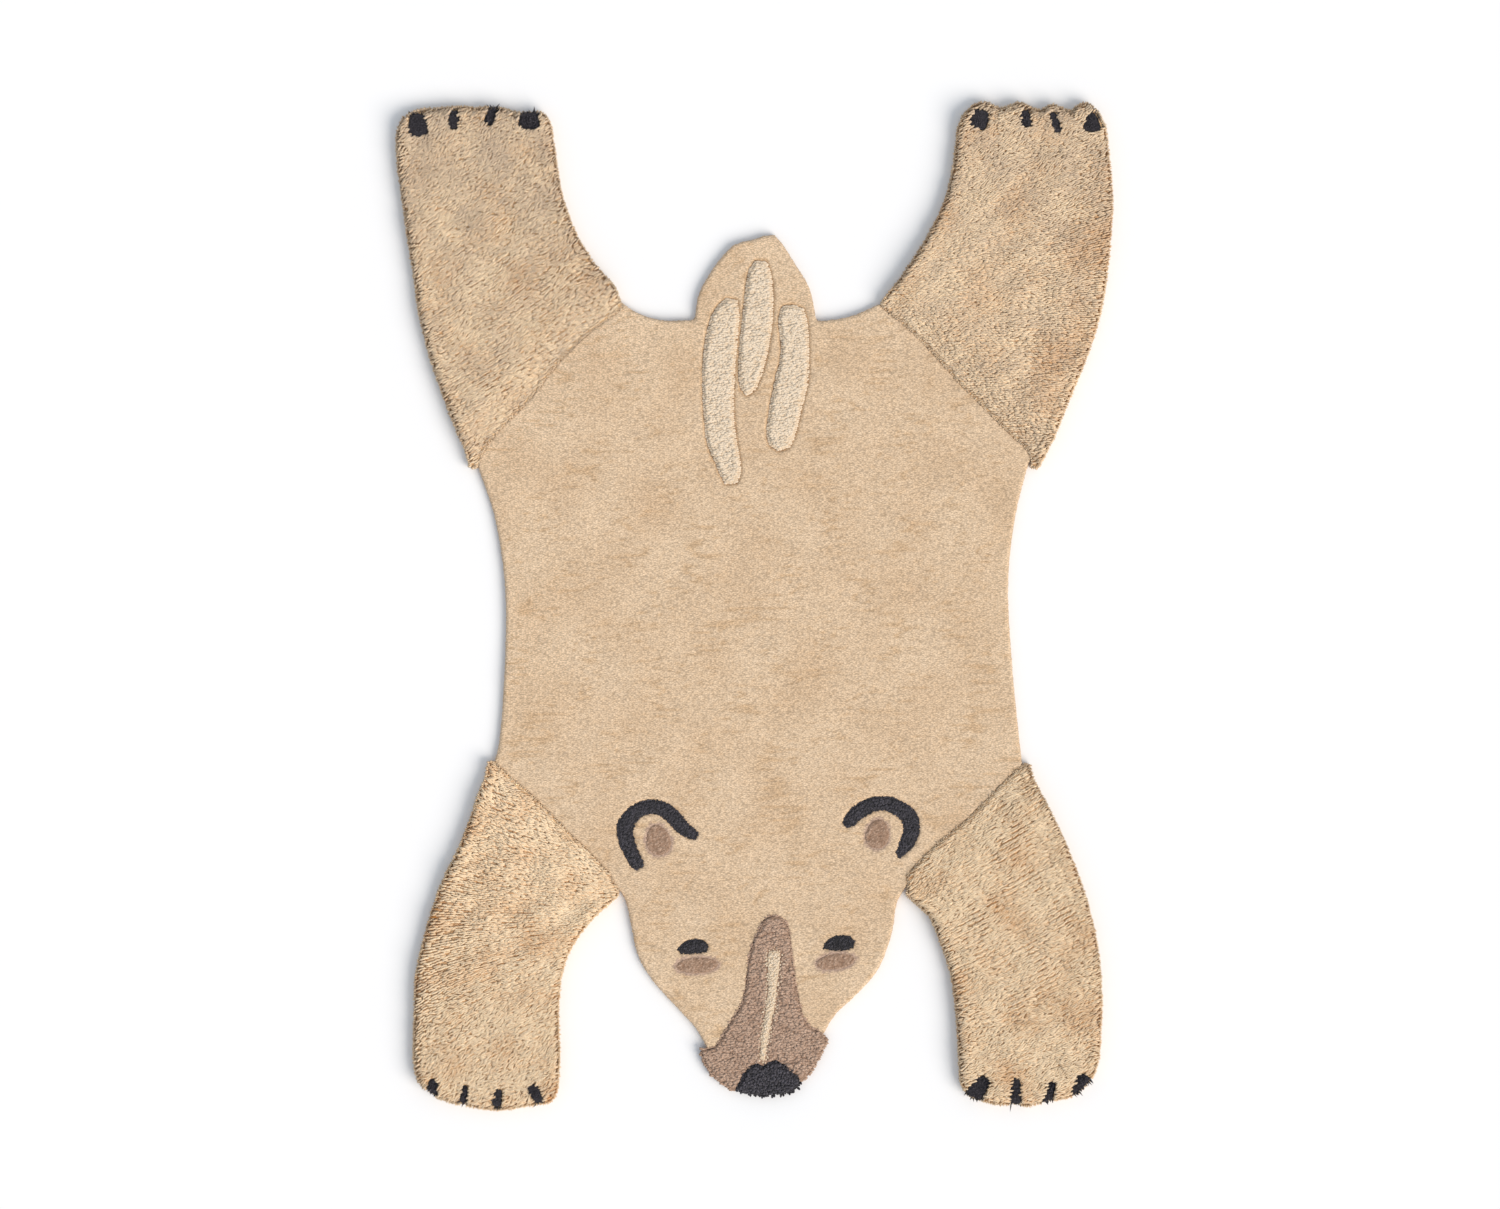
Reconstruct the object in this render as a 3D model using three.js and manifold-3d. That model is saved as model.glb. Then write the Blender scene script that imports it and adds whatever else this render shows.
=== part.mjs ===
// A flat rug in the outline of a polar bear, laid out on its belly with the head towards -Y.
// Units are millimetres and +Z is up. The underside lies on z = 0, with the origin at its centre.
// Torso, head and tail are one low cut pile. The legs are deep shag with loose locks at their rims.
// Face, ears, tail strokes and claws are fields of other yarn, tufted into the same ground.
// Left and right are those of someone who looks down on the rug with the head nearest to them.

import * as THREE from "three";
import { mergeVertices } from "three/addons/utils/BufferGeometryUtils.js";
import Module from "manifold-3d";

const wasm = await Module();
wasm.setup();

const lowPile = 14; // torso, head and tail
const shagPile = 26; // legs, at the crown of the slab
const shagWall = 13; // legs, where the pile breaks over at the rim
const shagShoulder = 18; // how far in from the rim the shag reaches its full depth
const shagLump = 1.5; // half the height of a lump in the shag
const muzzlePile = 18;
const nosePile = 20;
const stripePile = 13;
const strokePile = 17;
const eyePile = 15.5;
const earRimPile = 15;
const clawRise = 1; // the claws stand this much above the shag around them
const ground = 3; // floor of the pocket that a small field is tufted into
const clearance = 0.3; // between neighbouring fields
const strokeGroove = 1.5; // clipped line around each tail stroke
const softRim = { round: 4, steps: 2 }; // rounding of a large field's upper rim
const crispRim = { round: 1.5, steps: 1 }; // the same on the small fields
const sharpRim = { round: 0, steps: 0 };
const cutHeight = 60; // reaches past every pile when one field is cut from another

const bodyStep = 18; // spacing of the points along the large outlines
const faceStep = 11; // and along the small ones
const clawSides = 10;

const pawLength = 110; // stretch of a leg over which its end is rounded and its toes show
const acrossSteps = 18; // faces across a leg
const alongSteps = 22; // faces along a leg
const edgeCrowding = 0.6; // 0 spaces the faces evenly, 1 crowds them towards the edges

const locksPerLeg = 62;
const lockReach = 5; // from the slab's wall to the rug's outline
const lockRoot = 7.5; // radius of a lock at its root, inside the slab
const lockPast = 1.5; // a lock's tip passes the outline by about this much
const lockBury = 5; // length of a lock inside the slab
const lockDrop = 0.45; // downward slope of a lock
const lockHeight = 8.5; // a lock leaves the wall at this height
const lockRoom = 16; // no lock stands nearer than this to a neighbouring field
const lockFromClaw = 7.5; // nor nearer than this to a claw

// Each row is a section across a leg, from the end of the paw to the tip of the seam. The free
// sections have open floor on both sides, and in the seam sections the inner edge meets the body.
// The toes rows tell how far the end of the paw is pulled in, from its outer edge to its inner one.
const legs = [
  {
    name: "hind_left",
    outerRound: 26,
    innerRound: 18,
    toes: [
      { across: 0, pull: 12 },
      { across: 0.06, pull: 10 },
      { across: 0.13, pull: 5 },
      { across: 0.25, pull: 3 },
      { across: 0.43, pull: -1 },
      { across: 0.53, pull: 3 },
      { across: 0.6, pull: -1 },
      { across: 0.69, pull: 1 },
      { across: 0.76, pull: 9 },
      { across: 0.88, pull: 8 },
      { across: 1, pull: 8 },
    ],
    free: [
      { y: 839, outer: -597, inner: -342 },
      { y: 763, outer: -602, inner: -330 },
      { y: 679, outer: -592, inner: -316 },
      { y: 595, outer: -580, inner: -280 },
      { y: 553, outer: -573, inner: -249 },
      { y: 529, outer: -570, inner: -225 },
      { y: 504, outer: -567, inner: -211 },
    ],
    seam: [
      { y: 453, outer: -556, inner: -281 },
      { y: 394, outer: -539, inner: -338 },
      { y: 344, outer: -521, inner: -375 },
      { y: 294, outer: -502, inner: -426 },
      { y: 260, outer: -486, inner: -452 },
      { y: 231, outer: -474, inner: -465 },
    ],
    claws: [
      { x: -562, y: 804, width: 33, length: 40, lean: 0 },
      { x: -502, y: 813, width: 18, length: 33, lean: 8 },
      { x: -440, y: 819, width: 16, length: 34, lean: 24 },
      { x: -376, y: 812, width: 35, length: 32, lean: 0 },
    ],
  },
  {
    name: "hind_right",
    outerRound: 34,
    innerRound: 30,
    toes: [
      { across: 0, pull: 14 },
      { across: 0.08, pull: 6 },
      { across: 0.14, pull: 4 },
      { across: 0.23, pull: 19 },
      { across: 0.34, pull: 6 },
      { across: 0.45, pull: 18 },
      { across: 0.57, pull: 3 },
      { across: 0.62, pull: 5 },
      { across: 0.7, pull: 15 },
      { across: 0.8, pull: 5 },
      { across: 0.86, pull: 3 },
      { across: 0.93, pull: 12 },
      { across: 1, pull: 18 },
    ],
    free: [
      { y: 850, outer: 588, inner: 341 },
      { y: 763, outer: 598, inner: 335 },
      { y: 679, outer: 605, inner: 318 },
      { y: 595, outer: 600, inner: 275 },
      { y: 545, outer: 595, inner: 241 },
      { y: 504, outer: 588, inner: 210 },
    ],
    seam: [
      { y: 444, outer: 572, inner: 281 },
      { y: 377, outer: 546, inner: 340 },
      { y: 327, outer: 525, inner: 390 },
      { y: 285, outer: 509, inner: 432 },
      { y: 257, outer: 494, inner: 462 },
      { y: 231, outer: 476, inner: 467 },
    ],
    claws: [
      { x: 379, y: 814, width: 30, length: 35, lean: 22 },
      { x: 456, y: 815, width: 19, length: 30, lean: -12 },
      { x: 506, y: 808, width: 15, length: 38, lean: -18 },
      { x: 567, y: 809, width: 25, length: 33, lean: 0, taper: 0.5 },
    ],
  },
  {
    name: "fore_left",
    outerRound: 38,
    innerRound: 22,
    toes: [
      { across: 0, pull: 26 },
      { across: 0.1, pull: 22 },
      { across: 0.2, pull: 12 },
      { across: 0.4, pull: 2 },
      { across: 0.6, pull: -3 },
      { across: 0.8, pull: 4 },
      { across: 1, pull: 7 },
    ],
    free: [
      { y: -847, outer: -566, inner: -328 },
      { y: -763, outer: -573, inner: -322 },
      { y: -679, outer: -572, inner: -324 },
      { y: -620, outer: -570, inner: -319 },
      { y: -570, outer: -559, inner: -301 },
      { y: -528, outer: -547, inner: -269 },
      { y: -480, outer: -532, inner: -222 },
    ],
    seam: [
      { y: -444, outer: -516, inner: -247 },
      { y: -402, outer: -495, inner: -289 },
      { y: -352, outer: -476, inner: -340 },
      { y: -310, outer: -462, inner: -382 },
      { y: -285, outer: -451, inner: -413 },
      { y: -263, outer: -443, inner: -434 },
    ],
    claws: [
      { x: -538, y: -808, width: 18, length: 30, lean: 10 },
      { x: -485, y: -820, width: 13, length: 32, lean: 6 },
      { x: -429, y: -826, width: 16, length: 32, lean: 6 },
      { x: -365, y: -819, width: 19, length: 35, lean: -30, taper: -0.2 },
    ],
  },
  {
    name: "fore_right",
    outerRound: 42,
    innerRound: 26,
    toes: [
      { across: 0, pull: 38 },
      { across: 0.1, pull: 23 },
      { across: 0.25, pull: 13 },
      { across: 0.38, pull: 8 },
      { across: 0.5, pull: 1 },
      { across: 0.6, pull: 5 },
      { across: 0.7, pull: 3 },
      { across: 0.8, pull: 7 },
      { across: 0.92, pull: 13 },
      { across: 1, pull: 14 },
    ],
    free: [
      { y: -845, outer: 575, inner: 346 },
      { y: -763, outer: 582, inner: 341 },
      { y: -679, outer: 587, inner: 336 },
      { y: -620, outer: 585, inner: 328 },
      { y: -562, outer: 578, inner: 309 },
      { y: -511, outer: 566, inner: 285 },
      { y: -476, outer: 556, inner: 244 },
    ],
    seam: [
      { y: -444, outer: 544, inner: 264 },
      { y: -402, outer: 527, inner: 306 },
      { y: -352, outer: 504, inner: 366 },
      { y: -310, outer: 482, inner: 407 },
      { y: -287, outer: 469, inner: 430 },
      { y: -268, outer: 461, inner: 452 },
    ],
    claws: [
      { x: 378, y: -809, width: 28, length: 46, lean: 38 },
      { x: 439, y: -816, width: 19, length: 50, lean: 0 },
      { x: 495, y: -818, width: 17, length: 42, lean: 18 },
      { x: 547, y: -805, width: 23, length: 42, lean: 28, taper: -0.3 },
    ],
  },
];

// A smooth curve runs through the rows of each stretch, and stretches meet at a corner. The first
// and last rows of a stretch that ends at a leg or at the muzzle lie inside that field, which is
// then cut out of the body, so both share one edge.
const bodyStretches = [
  // tail
  [
    { x: 105, y: 476 },
    { x: 100, y: 507 },
    { x: 91, y: 538 },
    { x: 71, y: 570 },
    { x: 51, y: 602 },
    { x: 36, y: 620 },
    { x: 19, y: 620 },
    { x: -6, y: 611 },
    { x: -29, y: 607 },
    { x: -53, y: 584 },
    { x: -76, y: 552 },
    { x: -93, y: 518 },
    { x: -98, y: 478 },
  ],
  // rump, left
  [
    { x: -98, y: 478 },
    { x: -157, y: 478 },
    { x: -197, y: 491 },
    { x: -227, y: 512 },
  ],
  // under the left hind leg
  [{ x: -375, y: 394 }],
  // flank, left
  [
    { x: -465, y: 246 },
    { x: -459, y: 223 },
    { x: -433, y: 143 },
    { x: -417, y: 34 },
    { x: -416, y: -75 },
    { x: -425, y: -218 },
    { x: -437, y: -272 },
  ],
  // under the left foreleg
  [{ x: -350, y: -377 }],
  // cheek, left
  [
    { x: -237, y: -470 },
    { x: -217, y: -488 },
    { x: -205, y: -537 },
    { x: -194, y: -587 },
    { x: -170, y: -629 },
    { x: -125, y: -679 },
    { x: -96, y: -711 },
    { x: -70, y: -758 },
  ],
  // cheek, right
  [
    { x: 102, y: -746 },
    { x: 117, y: -721 },
    { x: 135, y: -689 },
    { x: 170, y: -656 },
    { x: 204, y: -619 },
    { x: 220, y: -587 },
    { x: 234, y: -542 },
    { x: 240, y: -500 },
    { x: 259, y: -468 },
  ],
  // under the right foreleg
  [{ x: 372, y: -377 }],
  // flank, right
  [
    { x: 452, y: -278 },
    { x: 445, y: -218 },
    { x: 433, y: -92 },
    { x: 427, y: 34 },
    { x: 438, y: 143 },
    { x: 460, y: 233 },
    { x: 470, y: 252 },
  ],
  // under the right hind leg
  [{ x: 372, y: 394 }],
  // rump, right
  [
    { x: 246, y: 501 },
    { x: 212, y: 505 },
    { x: 182, y: 491 },
    { x: 145, y: 480 },
    { x: 105, y: 476 },
  ],
];

const muzzleStretches = [
  // bridge and cheek, left
  [
    { x: 36, y: -521 },
    { x: 18, y: -527 },
    { x: 6, y: -552 },
    { x: -6, y: -582 },
    { x: -11, y: -622 },
    { x: -19, y: -666 },
    { x: -38, y: -699 },
    { x: -56, y: -730 },
    { x: -68, y: -743 },
    { x: -88, y: -746 },
  ],
  // jaw, left, tucked in under the nose
  [
    { x: -88, y: -746 },
    { x: -83, y: -765 },
    { x: -70, y: -786 },
    { x: -49, y: -805 },
    { x: -31, y: -813 },
    { x: -6, y: -802 },
  ],
  // jaw, right
  [
    { x: 53, y: -802 },
    { x: 76, y: -802 },
    { x: 100, y: -776 },
    { x: 113, y: -751 },
    { x: 122, y: -733 },
  ],
  // cheek and bridge, right
  [
    { x: 122, y: -733 },
    { x: 115, y: -719 },
    { x: 96, y: -708 },
    { x: 83, y: -691 },
    { x: 76, y: -662 },
    { x: 68, y: -622 },
    { x: 63, y: -579 },
    { x: 59, y: -545 },
    { x: 51, y: -527 },
    { x: 36, y: -521 },
  ],
];

const noseStretches = [
  // upper edge, left of the notch
  [
    { x: -29, y: -812 },
    { x: -19, y: -792 },
    { x: -6, y: -775 },
    { x: 6, y: -770 },
    { x: 16, y: -775 },
  ],
  // upper edge, right of the notch
  [
    { x: 16, y: -775 },
    { x: 28, y: -767 },
    { x: 39, y: -765 },
    { x: 56, y: -776 },
    { x: 73, y: -791 },
    { x: 78, y: -803 },
  ],
  // lower edge
  [
    { x: 78, y: -803 },
    { x: 65, y: -817 },
    { x: 19, y: -823 },
    { x: -14, y: -820 },
    { x: -29, y: -812 },
  ],
];

// Sections across the long fields, from the tail's end towards the head.
const strokeSections = {
  tail_stroke_left: [
    { y: 513, left: -46, right: -31 },
    { y: 491, left: -66, right: -26 },
    { y: 444, left: -79, right: -29 },
    { y: 377, left: -84, right: -34 },
    { y: 319, left: -82, right: -35 },
    { y: 268, left: -75, right: -29 },
    { y: 230, left: -58, right: -23 },
    { y: 205, left: -48, right: -29 },
  ],
  tail_stroke_middle: [
    { y: 577, left: 4, right: 18 },
    { y: 557, left: -7, right: 27 },
    { y: 511, left: -14, right: 31 },
    { y: 461, left: -19, right: 28 },
    { y: 411, left: -23, right: 19 },
    { y: 372, left: -22, right: 6 },
    { y: 354, left: -17, right: -4 },
  ],
  tail_stroke_right: [
    { y: 500, left: 49, right: 78 },
    { y: 478, left: 44, right: 88 },
    { y: 424, left: 48, right: 91 },
    { y: 377, left: 38, right: 90 },
    { y: 327, left: 28, right: 78 },
    { y: 282, left: 24, right: 67 },
    { y: 262, left: 33, right: 55 },
  ],
};

const stripeSections = [
  { y: -580, left: 25, right: 43 },
  { y: -612, left: 23, right: 44 },
  { y: -637, left: 24, right: 40 },
  { y: -662, left: 21, right: 38 },
  { y: -688, left: 18, right: 33 },
  { y: -713, left: 14, right: 28 },
  { y: -738, left: 11, right: 23 },
  { y: -765, left: 12, right: 19 },
];

// Each row is a place on the middle of an ear's rim, with the width of the band there.
const earRims = {
  ear_rim_left: [
    { x: -95, y: -388, width: 12 },
    { x: -117, y: -375, width: 22 },
    { x: -136, y: -354, width: 25 },
    { x: -154, y: -341, width: 23 },
    { x: -174, y: -338, width: 23 },
    { x: -193, y: -344, width: 24 },
    { x: -208, y: -357, width: 26 },
    { x: -216, y: -376, width: 27 },
    { x: -212, y: -398, width: 25 },
    { x: -204, y: -418, width: 23 },
    { x: -191, y: -440, width: 17 },
  ],
  ear_rim_right: [
    { x: 154, y: -370, width: 14 },
    { x: 170, y: -352, width: 24 },
    { x: 187, y: -340, width: 24 },
    { x: 205, y: -333, width: 23 },
    { x: 224, y: -333, width: 24 },
    { x: 242, y: -340, width: 25 },
    { x: 259, y: -353, width: 27 },
    { x: 266, y: -374, width: 27 },
    { x: 260, y: -393, width: 26 },
    { x: 251, y: -409, width: 19 },
    { x: 242, y: -423, width: 6 },
  ],
};

// Soft patches, egg-shaped where they taper towards the tail, and turned against the clock.
const patches = {
  ear_inside_left: { x: -160, y: -394, width: 46, length: 57, taper: 0.14, turn: 12 },
  ear_inside_right: { x: 208, y: -384, width: 43, length: 54, taper: 0.14, turn: -10 },
  eye_patch_left: { x: -95, y: -604, width: 78, length: 31, taper: 0, turn: 3 },
  eye_patch_right: { x: 138, y: -598, width: 72, length: 31, taper: 0, turn: 8 },
};

// Each eye is flat below and arched above, with its lower edge turned up at the outer corner.
const eyes = {
  eye_left: [
    { x: -128, y: -578 },
    { x: -117, y: -566 },
    { x: -99, y: -560 },
    { x: -83, y: -563 },
    { x: -75, y: -573 },
    { x: -78, y: -581 },
    { x: -98, y: -584 },
    { x: -120, y: -585 },
  ],
  eye_right: [
    { x: 117, y: -574 },
    { x: 127, y: -560 },
    { x: 142, y: -554 },
    { x: 160, y: -556 },
    { x: 170, y: -565 },
    { x: 166, y: -576 },
    { x: 148, y: -579 },
    { x: 127, y: -578 },
  ],
};

const sandPile = new THREE.MeshStandardMaterial({ color: 0xd8bd9e, roughness: 0.95, metalness: 0 });
const sandShag = new THREE.MeshStandardMaterial({ color: 0xd1b597, roughness: 0.98, metalness: 0 });
const creamPile = new THREE.MeshStandardMaterial({ color: 0xddcab3, roughness: 0.95, metalness: 0 });
const taupePile = new THREE.MeshStandardMaterial({ color: 0xa98d7b, roughness: 0.95, metalness: 0 });
const charcoalPile = new THREE.MeshStandardMaterial({ color: 0x403e41, roughness: 0.9, metalness: 0 });

const vector = ({ x, y }) => new THREE.Vector2(x, y);

// Points about one step apart on a smooth curve through the rows of a stretch.
function smooth(rows, step) {
  if (rows.length === 1) return rows.map(vector);
  const curve = new THREE.SplineCurve(rows.map(vector));
  return curve.getSpacedPoints(Math.round(curve.getLength() / step));
}

function outline(stretches, step) {
  const points = stretches.flatMap((rows) => smooth(rows, step));
  return points.filter((point, i) => point.distanceTo(points.at(i - 1)) > 1);
}

// A closed smooth curve through all rows.
function loop(rows, step) {
  const curve = new THREE.CatmullRomCurve3(
    rows.map(({ x, y }) => new THREE.Vector3(x, y, 0)),
    true,
  );
  const points = curve.getSpacedPoints(Math.round(curve.getLength() / step));
  return points.slice(0, -1).map(vector);
}

function sectionLoop(sections, step) {
  const leftEdge = sections.map(({ y, left }) => ({ x: left, y }));
  const rightEdge = sections.map(({ y, right }) => ({ x: right, y }));
  return loop([...leftEdge, ...rightEdge.reverse()], step);
}

function bandLoop(rows, step) {
  const sides = [1, -1].map((side) =>
    rows.map((row, i) => {
      const before = vector(rows[Math.max(i - 1, 0)]);
      const after = vector(rows[Math.min(i + 1, rows.length - 1)]);
      const along = after.sub(before).normalize();
      const half = (side * row.width) / 2;
      return { x: row.x - along.y * half, y: row.y + along.x * half };
    }),
  );
  return loop([...sides[0], ...sides[1].reverse()], step);
}

function patchLoop({ x, y, width, length, taper, turn }, step) {
  const centre = new THREE.Vector2(x, y);
  const curve = new THREE.EllipseCurve(0, 0, width / 2, length / 2);
  const points = curve.getSpacedPoints(Math.round(curve.getLength() / step)).slice(0, -1);
  return points.map((point) => {
    const narrow = 1 - (taper * point.y) / (length / 2);
    return new THREE.Vector2(point.x * narrow, point.y).add(centre)
      .rotateAround(centre, THREE.MathUtils.degToRad(turn));
  });
}

// A claw is a block with round corners, turned to its lean and narrower at its upper end.
function clawLoop({ x, y, width, length, lean, taper = 0.15 }) {
  const centre = new THREE.Vector2(x, y);
  const squareness = 0.6;
  return Array.from({ length: clawSides }, (_, i) => {
    const angle = (2 * Math.PI * (i + 0.5)) / clawSides;
    const across = Math.sign(Math.cos(angle)) * Math.abs(Math.cos(angle)) ** squareness;
    const along = Math.sign(Math.sin(angle)) * Math.abs(Math.sin(angle)) ** squareness;
    const narrow = 1 - taper * along;
    return new THREE.Vector2(x + (across * narrow * width) / 2, y + (along * length) / 2).rotateAround(
      centre,
      -THREE.MathUtils.degToRad(lean),
    );
  });
}

function counterClockwise(points) {
  return THREE.ShapeUtils.isClockWise(points) ? [...points].reverse() : points;
}

// Moves each point of a counter-clockwise outline outwards, or inwards by a negative distance.
function grow(points, distance) {
  return points.map((point, i) => {
    const before = point.clone().sub(points.at(i - 1)).normalize();
    const after = points[(i + 1) % points.length].clone().sub(point).normalize();
    const along = before.clone().add(after).normalize();
    const reach = distance / Math.max(along.dot(before), 0.5);
    return new THREE.Vector2(point.x + along.y * reach, point.y - along.x * reach);
  });
}

function solid(positions, faces) {
  const mesh = new wasm.Mesh({
    numProp: 3,
    vertProperties: new Float32Array(positions),
    triVerts: new Uint32Array(faces),
  });
  return new wasm.Manifold(mesh);
}

function solidFromGeometry(geometry) {
  geometry.deleteAttribute("normal");
  geometry.deleteAttribute("uv");
  const merged = mergeVertices(geometry, 1e-4);
  return solid(merged.attributes.position.array, merged.index.array);
}

// A closed slab over an outline, with the upper rim rounded off.
function slab(points, base, top, { round, steps }) {
  const ring = counterClockwise(points);
  const layers = [
    { z: base, inset: 0 },
    { z: top - round, inset: 0 },
  ];
  for (let k = 1; k <= steps; k += 1) {
    const angle = (k / steps) * (Math.PI / 2);
    const z = top - round + round * Math.sin(angle);
    layers.push({ z, inset: round * (1 - Math.cos(angle)) });
  }
  const rings = layers.map(({ inset }) => grow(ring, -inset));
  const positions = rings.flatMap((points, k) => points.flatMap(({ x, y }) => [x, y, layers[k].z]));
  const count = ring.length;
  const faces = [];
  for (let k = 0; k < layers.length - 1; k += 1) {
    for (let i = 0; i < count; i += 1) {
      const here = k * count + i;
      const next = k * count + ((i + 1) % count);
      faces.push(here, next, next + count, here, next + count, here + count);
    }
  }
  const last = (layers.length - 1) * count;
  THREE.ShapeUtils.triangulateShape(rings[0], []).forEach(([a, b, c]) => faces.push(a, c, b));
  THREE.ShapeUtils.triangulateShape(rings.at(-1), []).forEach(([a, b, c]) =>
    faces.push(last + a, last + b, last + c),
  );
  return solid(positions, faces);
}

// The room that a field needs in its neighbour, from a given floor upwards.
function room(points, gap, floor) {
  return slab(grow(counterClockwise(points), gap), floor, cutHeight, sharpRim);
}

// A repeatable number from -0.5 to 0.5 for the nth thing of a row.
function stray(n, row) {
  const wave = Math.sin(n * 12.9898 + row * 78.233) * 43758.5453;
  return wave - Math.floor(wave) - 0.5;
}

// A smooth function through the rows of a table, which gives each row's value at its place.
function through(rows, place, value) {
  const curve = new THREE.CubicInterpolant(rows.map(place), rows.map(value), 1);
  return (at) => curve.evaluate(at)[0];
}

// One column of a table of sections, as a smooth function of the distance from the paw's end.
function edge(sections, column, end) {
  return through(sections, ({ y }) => Math.abs(y - end), (row) => row[column]);
}

// From 0 to 1, with the values closer together near both ends.
function crowded(steps) {
  return Array.from({ length: steps + 1 }, (_, i) => {
    const even = i / steps;
    return THREE.MathUtils.lerp(even, (1 - Math.cos(Math.PI * even)) / 2, edgeCrowding);
  });
}

// The form of one leg: where the slab lies, as functions of the distance from the paw's end and of
// the share of the way across from the outer edge.
function legForm({ free, seam, outerRound, innerRound, toes }) {
  const end = free[0].y;
  const inwards = Math.sign(seam.at(-1).y - end);
  const corner = Math.abs(free.at(-1).y - end);
  const length = Math.abs(seam.at(-1).y - end);
  const outer = edge([...free, ...seam], "outer", end);
  const freeInner = edge(free, "inner", end);
  const seamInner = edge([free.at(-1), ...seam], "inner", end);
  const toePull = through(toes, ({ across }) => across, ({ pull }) => pull);
  const side = Math.sign(outer(0) - freeInner(0));
  const pawWidth = Math.abs(outer(0) - freeInner(0));

  const fade = (distance, stop) => THREE.MathUtils.smoothstep(stop - distance, 0, 2 * lockRoom);
  const outerAt = (s) => outer(s) - side * lockReach * fade(s, length);
  const innerAt = (s) =>
    s < corner ? freeInner(s) + side * lockReach * fade(s, corner) : seamInner(s);
  const cornerDrop = (fromSide, radius) => {
    const short = Math.max(0, radius - fromSide);
    return radius - Math.sqrt(radius ** 2 - short ** 2);
  };
  const place = (s, across) => {
    const corners = cornerDrop(across * pawWidth, outerRound)
      + cornerDrop((1 - across) * pawWidth, innerRound);
    const pulled = s + (lockReach + corners + toePull(across)) * Math.max(0, 1 - s / pawLength);
    const x = THREE.MathUtils.lerp(outerAt(pulled), innerAt(pulled), across);
    return new THREE.Vector2(x, end + inwards * pulled);
  };
  const height = (s, across) => {
    const width = Math.abs(outerAt(s) - innerAt(s));
    const nearest = Math.min(s, length - s, across * width, (1 - across) * width);
    const share = Math.min(nearest / shagShoulder, 1);
    const { x, y } = place(s, across);
    const lump = Math.sin(x / 19 + y / 47) * Math.sin(y / 24 - x / 71) + 0.6 * Math.sin((x + y) / 13);
    return shagWall + (shagPile - shagWall) * Math.sqrt(1 - (1 - share) ** 2) + shagLump * lump * share;
  };
  return { place, height, length, corner };
}

function legSlab({ place, height, length }) {
  const along = crowded(alongSteps).map((share) => share * length);
  const across = crowded(acrossSteps);
  const positions = along.flatMap((s) =>
    across.flatMap((u) => {
      const { x, y } = place(s, u);
      return [x, y, height(s, u)];
    }),
  );
  const columns = acrossSteps + 1;
  const rim = [
    ...across.map((_, j) => j),
    ...along.slice(1).map((_, i) => (i + 1) * columns + acrossSteps),
    ...across.slice(1).map((_, j) => alongSteps * columns + acrossSteps - 1 - j),
    ...along.slice(1, -1).map((_, i) => (alongSteps - 1 - i) * columns),
  ];
  const ring = rim.map((n) => new THREE.Vector2(positions[3 * n], positions[3 * n + 1]));
  const reversed = THREE.ShapeUtils.isClockWise(ring);
  const under = positions.length / 3;
  ring.forEach(({ x, y }) => positions.push(x, y, 0));

  const faces = [];
  const addFace = (a, b, c) => faces.push(a, ...(reversed ? [c, b] : [b, c]));
  for (let i = 0; i < alongSteps; i += 1) {
    for (let j = 0; j < acrossSteps; j += 1) {
      const here = i * columns + j;
      addFace(here, here + 1, here + columns + 1);
      addFace(here, here + columns + 1, here + columns);
    }
  }
  rim.forEach((n, k) => {
    const next = (k + 1) % rim.length;
    addFace(n, under + k, under + next);
    addFace(n, under + next, rim[next]);
  });
  THREE.ShapeUtils.triangulateShape(ring, []).forEach(([a, b, c]) =>
    faces.push(under + a, under + c, under + b),
  );
  return { body: solid(positions, faces), ring: counterClockwise(ring) };
}

// Loose locks of yarn along the free rim, each a four-sided spike that droops towards the floor.
function locks({ place, length, corner }, clawLoops, legNumber) {
  const innerStops = crowded(alongSteps).map((share) => place(share * (corner - lockRoom), 1));
  const pawStops = crowded(2 * acrossSteps).map((share) => place(0, 1 - share));
  const outerStops = crowded(alongSteps).map((share) => place(share * (length - lockRoom), 0));
  const stops = [...innerStops.reverse(), ...pawStops.slice(1), ...outerStops.slice(1)];
  const rim = new THREE.CurvePath();
  stops.slice(1).forEach((stop, i) => rim.add(new THREE.LineCurve(stops[i], stop)));
  const turn = THREE.ShapeUtils.isClockWise(stops) ? -1 : 1;

  const shares = Array.from(
    { length: locksPerLeg },
    (_, i) => (i + 0.5 + 0.3 * stray(i, legNumber)) / locksPerLeg,
  );
  const clawPoints = clawLoops.flat();
  const clear = shares.filter((share) => {
    const foot = rim.getPoint(share);
    return clawPoints.every((point) => point.distanceTo(foot) > lockFromClaw);
  });
  return clear.map((share, i) => {
    const foot = rim.getPoint(share);
    const along = rim.getTangent(share);
    const lean = 0.6 * stray(i, legNumber + 10);
    const outwards = new THREE.Vector3(along.y * turn, -along.x * turn, -lockDrop)
      .add(new THREE.Vector3(along.x, along.y, 0).multiplyScalar(lean))
      .normalize();
    const lockLength = lockBury + lockReach + lockPast + 2 * stray(i, legNumber + 20);
    const spike = new THREE.ConeGeometry(lockRoot, lockLength, 4);
    spike.rotateY(Math.PI / 4);
    spike.applyQuaternion(
      new THREE.Quaternion().setFromUnitVectors(new THREE.Vector3(0, 1, 0), outwards),
    );
    const middle = outwards.multiplyScalar(lockLength / 2 - lockBury);
    spike.translate(foot.x + middle.x, foot.y + middle.y, lockHeight + middle.z);
    return solidFromGeometry(spike);
  });
}

const rug = new THREE.Group();

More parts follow.
